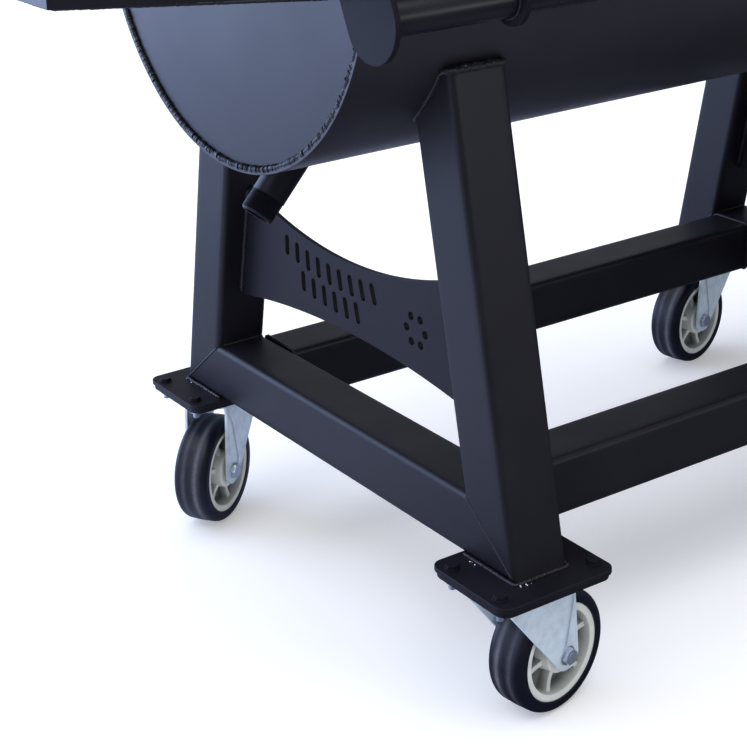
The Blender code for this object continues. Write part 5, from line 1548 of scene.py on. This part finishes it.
def make_grate(name, bars, radius, finish, round_bars=True):
    low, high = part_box(name)
    mid_y, mid_z = (low.y + high.y) / 2, (low.z + high.z) / 2
    bm = bmesh.new()
    for y in (low.y + 0.125 * inch, high.y - 0.125 * inch):
        add_block(bm, ((low.x + high.x) / 2, y, mid_z),
                  (high.x - low.x, 0.25 * inch, high.z - low.z))
    for i in range(bars):
        x = low.x + 0.15 * inch + (high.x - low.x - 0.3 * inch) * i / (bars - 1)
        if round_bars:
            add_rod(bm, (x, low.y + 0.1 * inch, mid_z), (x, high.y - 0.1 * inch, mid_z), radius, 14)
        else:
            add_block(bm, (x, mid_y, mid_z),
                      (radius * 2, high.y - low.y - 0.1 * inch, (high.z - low.z) * 0.8))
    finish_piece(name + "_bars", bm, finish, "root", name, edge=0.0006, slot="bare_steel")


for side in ("left", "right"):
    make_grate("cooking_grate_" + side, 24, 0.125 * inch, grate_steel)
make_grate("firebox_grate", 16, 0.15 * inch, fire_steel, round_bars=False)

# ---------------------------------------------------------------- the firebox
# A plate box welded to the chamber's other end. Its paint is flatter and greyer
# where the fire has worked on it, and its corners carry full weld beads.
fire_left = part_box("firebox_body")[0].x
fire_right = fire_left + 21.0 * inch
fire_half, fire_bottom, fire_top = 10.0 * inch, 14.5 * inch, 34.5 * inch
fire_mid_z = (fire_bottom + fire_top) / 2
fire_paint = satin_black("fire_paint", rough=0.50, colour=(0.013, 0.0125, 0.0145), dust=0.2,
                         bump=0.12)
fire_bm = bmesh.new()
tapered_box(fire_bm, fire_left, fire_right, fire_half, fire_half, fire_bottom, fire_top, plate,
            lining=1)
fire_box = finish_piece("firebox_plates", fire_bm, [fire_paint, smoked_steel], "root",
                        "firebox_body")
fire_hole = bmesh.new()
add_block(fire_hole, (fire_left, 0, fire_passage_z), (2 * inch, *fire_passage))
round_off(carve(fire_box, fire_hole), 0.0010)

fire_beads = bmesh.new()
for sy in (-1, 1):
    for sz, z in ((-1, fire_bottom), (1, fire_top)):
        edge_y, edge_z = sy * (fire_half - 0.0010), z - sz * 0.0010
        line = [(x, edge_y, edge_z) for x in (fire_left + 0.004, fire_right - 0.004)]
        add_bead(fire_beads, line, 0.0026, 161 + sy + sz)
    corner_y, ends = sy * (fire_half - 0.0012), (fire_bottom + 0.004, fire_top - 0.004)
    add_bead(fire_beads, [(fire_left + 0.0012, corner_y, z) for z in ends], 0.0026, 171 + sy)
for corner_z in (fire_bottom + 0.0012, fire_top - 0.0012):
    ends = (-fire_half + 0.004, fire_half - 0.004)
    add_bead(fire_beads, [(fire_left + 0.0012, y, corner_z) for y in ends], 0.0026, 175)
seam = []
for i in range(61):
    angle = -math.pi + math.pi * i / 60
    y, z = chamber_radius * math.cos(angle), chamber_axis + chamber_radius * math.sin(angle)
    if abs(y) < fire_half and fire_bottom < z < fire_top - 0.004:
        seam.append((fire_left - 0.0012, y, z))
add_bead(fire_beads, seam, 0.0032, 181)

# Latch keeper: a hook on the front wall, open at the top.
keeper_z = fire_mid_z - 1.25 * inch
door_mid_x = fire_right + weld_gap + plate / 2
lip_x = door_mid_x + plate / 2 + 0.45 * inch
keeper_bm = bmesh.new()
back_x = fire_right - 1.5 * inch
lip_end = lip_x + 0.115 * inch
add_block(keeper_bm, (back_x + 0.6 * inch, -fire_half - 0.22 * inch, keeper_z),
          (1.2 * inch, 0.58 * inch, 1.0 * inch))
add_block(keeper_bm, ((lip_end + back_x) / 2, -fire_half - 0.45 * inch, keeper_z),
          (lip_end - back_x, 0.2 * inch, 1.2 * inch))
add_block(keeper_bm, (lip_x, -fire_half - 0.8 * inch, keeper_z + 0.5 * inch),
          (0.22 * inch, 0.89 * inch, 2.19 * inch))
finish_piece("latch_keeper_hook", keeper_bm, fire_paint, "root", edge=0.0012)
for z in (keeper_z - 0.5 * inch, keeper_z + 0.5 * inch):
    toe = [(back_x + 0.05 * inch, -fire_half - 0.0008, z), (back_x + 1.15 * inch,
                                                            -fire_half - 0.0008, z)]
    add_bead(fire_beads, toe, 0.0022, 187)

# ------------------------------------------------------------ the firebox door
# A square plate on two pinned hinges, with three air holes behind a round damper
# and a bar latch whose grip is a wound spring that stays cool.
door_size = 20.2 * inch
door_pin_x, door_pin_y = fire_right + 0.5 * inch, fire_half + 0.6 * inch
damper_z, latch_y = 21.0 * inch, -8.6 * inch
knuckle_radius = 0.42 * inch
hinge_heights = {"lower": fire_mid_z - 6 * inch, "upper": fire_mid_z + 6 * inch}


def air_holes(y, z):
    turns = [math.tau * i / 3 + math.pi / 2 for i in range(3)]
    spots = [(y + 2.1 * inch * math.cos(t), z + 2.1 * inch * math.sin(t)) for t in turns]
    return [circle(0.95 * inch, 40, spot) for spot in spots]


door_pin_at = Matrix.Translation((door_pin_x, door_pin_y, 0))
door_bm = bmesh.new()
door_outline = rounded_rectangle(door_size, door_size, 0.18 * inch, (0.0, fire_mid_z), steps=5)
studs = [circle(bolt_hole, 20, (0.0, damper_z)), circle(bolt_hole, 20, (latch_y, fire_mid_z))]
add_sheet(door_bm, upright(door_mid_x), door_outline, air_holes(0.0, damper_z) + studs, plate,
          0.0010)
finish_piece("fire_door_plate", door_bm, fire_paint, "firebox_door", "firebox_door", angle=20)
eyes_bm = bmesh.new()
door_beads = bmesh.new()
for z in hinge_heights.values():
    add_block(eyes_bm, (door_pin_x - 0.2 * inch, door_pin_y - 0.62 * inch, z),
              (0.28 * inch, 0.84 * inch, 0.98 * inch))
    eye = sleeve(0.23 * inch, knuckle_radius, z - 0.5 * inch, z + 0.5 * inch)
    lathe(eyes_bm, softened(eye, 0.0008), door_pin_at, 40, closed=True)
    for dz in (-0.48 * inch, 0.48 * inch):
        toe = [(door_pin_x - back * inch, door_pin_y - 1.0 * inch, z + dz) for back in (0.33, 0.05)]
        add_bead(door_beads, toe, 0.0018, 191)
finish_piece("door_hinge_eyes", eyes_bm, fire_paint, "firebox_door", edge=0.0008)
for side, z in hinge_heights.items():
    low_z = z - 1.0 * inch
    leaf_bm = bmesh.new()
    leaf_y = fire_half + weld_gap + 0.125 * inch
    add_block(leaf_bm, (door_pin_x - 1.7 * inch, leaf_y, low_z),
              (2.2 * inch, 0.25 * inch, 0.8 * inch))
    add_block(leaf_bm, (door_pin_x - 0.75 * inch, door_pin_y - 0.2 * inch, low_z),
              (1.2 * inch, 0.5 * inch, 0.6 * inch))
    finish_piece("hinge_leaf_" + side, leaf_bm, fire_paint, "root", "door_hinge_" + side,
                 edge=0.0010)
    pin_bm = bmesh.new()
    knuckle = sleeve(0.0, knuckle_radius, low_z - 0.48 * inch, low_z + 0.48 * inch)
    lathe(pin_bm, softened(knuckle, 0.0008), door_pin_at, 40)
    pin = [(0.0, low_z), (0.215 * inch, low_z), (0.215 * inch, z + 0.55 * inch),
           (0.17 * inch, z + 0.6 * inch), (0.0, z + 0.6 * inch)]
    lathe(pin_bm, pin, door_pin_at, 32)
    finish_piece("hinge_pin_" + side, pin_bm, fire_paint, "root")
    top = [(door_pin_x - back * inch, fire_half + 0.0012, low_z + 0.4 * inch)
           for back in (2.75, 0.65)]
    add_bead(fire_beads, top, 0.0022, 195)
finish_piece("firebox_welds", fire_beads, weld_paint, "root", angle=70)
finish_piece("door_welds", door_beads, weld_paint, "firebox_door", angle=70)

face_x = door_mid_x + plate / 2 + weld_gap
stud_end, stud_radius = face_x + 0.48 * inch, 0.185 * inch
damper_thick = 0.16 * inch
damper_bm = bmesh.new()
add_sheet(damper_bm, upright(face_x + damper_thick / 2, 0.0, damper_z), circle(3.7 * inch, 120),
          air_holes(0.0, 0.0), damper_thick, 0.0008)
add_rod(damper_bm, (door_mid_x - 0.2 * inch, 0, damper_z), (stud_end, 0, damper_z), stud_radius, 24)
finish_piece("draught_disc", damper_bm, fire_paint, "air_damper", "air_damper", edge=0.0003)
nut_bm = bmesh.new()
add_hex(nut_bm, 0, 0, face_x + damper_thick, face_x + damper_thick + 0.26 * inch, 0.33 * inch)
move_to(nut_bm, upright(0.0, 0.0, damper_z))
finish_piece("draught_nut", nut_bm, bolt_zinc, "air_damper", angle=30, slot="zinc_plate")


def add_spring(bm, start, end, radius, wire, turns):
    """A close-wound spring from start to end."""
    start, end = Vector(start), Vector(end)
    along = (end - start)
    spin = along.to_track_quat("Z", "Y").to_matrix()
    per, sides = 28, 8
    rings = []
    total = turns * per
    for i in range(total + 1):
        turn = math.tau * i / per
        out = Vector((math.cos(turn), math.sin(turn), 0))
        centre = out * radius + Vector((0, 0, along.length * i / total))
        places = [centre + out * u + Vector((0, 0, v)) for u, v in circle(wire, sides)]
        rings.append([bm.verts.new(start + spin @ place) for place in places])
    for first, second in zip(rings, rings[1:]):
        join_rings(bm, first, second)
    bm.faces.new(rings[0])
    bm.faces.new(list(reversed(rings[-1])))


spring_steel = plain_finish("spring_steel", (0.42, 0.42, 0.43), 0.28, 0.95, 0.1)
knob_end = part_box("air_damper")[1].x
knob_bm = bmesh.new()
knob_z = damper_z - 3.2 * inch
add_rod(knob_bm, (face_x + damper_thick, 0, knob_z), (knob_end - 0.001, 0, knob_z), 0.14 * inch, 20)
lathe(knob_bm, sleeve(0.0, 0.27 * inch, 0.0, 0.07 * inch), facing_x(knob_end - 0.0022, 0, knob_z),
      32)
finish_piece("draught_knob_pin", knob_bm, fire_paint, "air_damper", edge=0.0004)
knob_spring = bmesh.new()
add_spring(knob_spring, (face_x + damper_thick + 0.0016, 0, knob_z), (knob_end - 0.0036, 0, knob_z),
           0.205 * inch, 0.045 * inch, 9)
finish_piece("draught_knob_spring", knob_spring, spring_steel, "air_damper", angle=70,
             slot="bare_steel")

latch_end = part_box("door_latch")[1].x
bar_x = face_x + 0.16 * inch
latch_bm = bmesh.new()
latch_loop = rounded_rectangle(0.9 * inch, 6.6 * inch, 0.42 * inch,
                               (latch_y, fire_mid_z - 0.9 * inch), steps=10)
add_sheet(latch_bm, upright(bar_x), latch_loop, [], 0.25 * inch, 0.0014)
add_rod(latch_bm, (door_mid_x - 0.2 * inch, latch_y, fire_mid_z), (stud_end, latch_y, fire_mid_z),
        stud_radius, 24)
grip_z = fire_mid_z - 3.7 * inch
add_rod(latch_bm, (bar_x, latch_y, grip_z), (latch_end - 0.004, latch_y, grip_z), 0.20 * inch, 24)
lathe(latch_bm, sleeve(0.0, 0.40 * inch, 0.0, 0.10 * inch),
      facing_x(latch_end - 0.10 * inch - weld_gap, latch_y, grip_z), 40)
finish_piece("latch_bar", latch_bm, fire_paint, "door_latch", "door_latch", edge=0.0005)
latch_nut = bmesh.new()
add_hex(latch_nut, 0, 0, bar_x + 0.125 * inch, bar_x + 0.30 * inch, 0.32 * inch)
move_to(latch_nut, upright(0.0, latch_y, fire_mid_z))
finish_piece("latch_nut", latch_nut, bolt_zinc, "door_latch", angle=30, slot="zinc_plate")
grip_spring = bmesh.new()
add_spring(grip_spring, (bar_x + 0.17 * inch, latch_y, grip_z),
           (latch_end - 0.15 * inch, latch_y, grip_z), 0.36 * inch, 0.075 * inch,
           max(6, int((latch_end - bar_x - 0.32 * inch) / (0.165 * inch))))
finish_piece("latch_spring_grip", grip_spring, spring_steel, "door_latch", angle=70,
             slot="bare_steel")
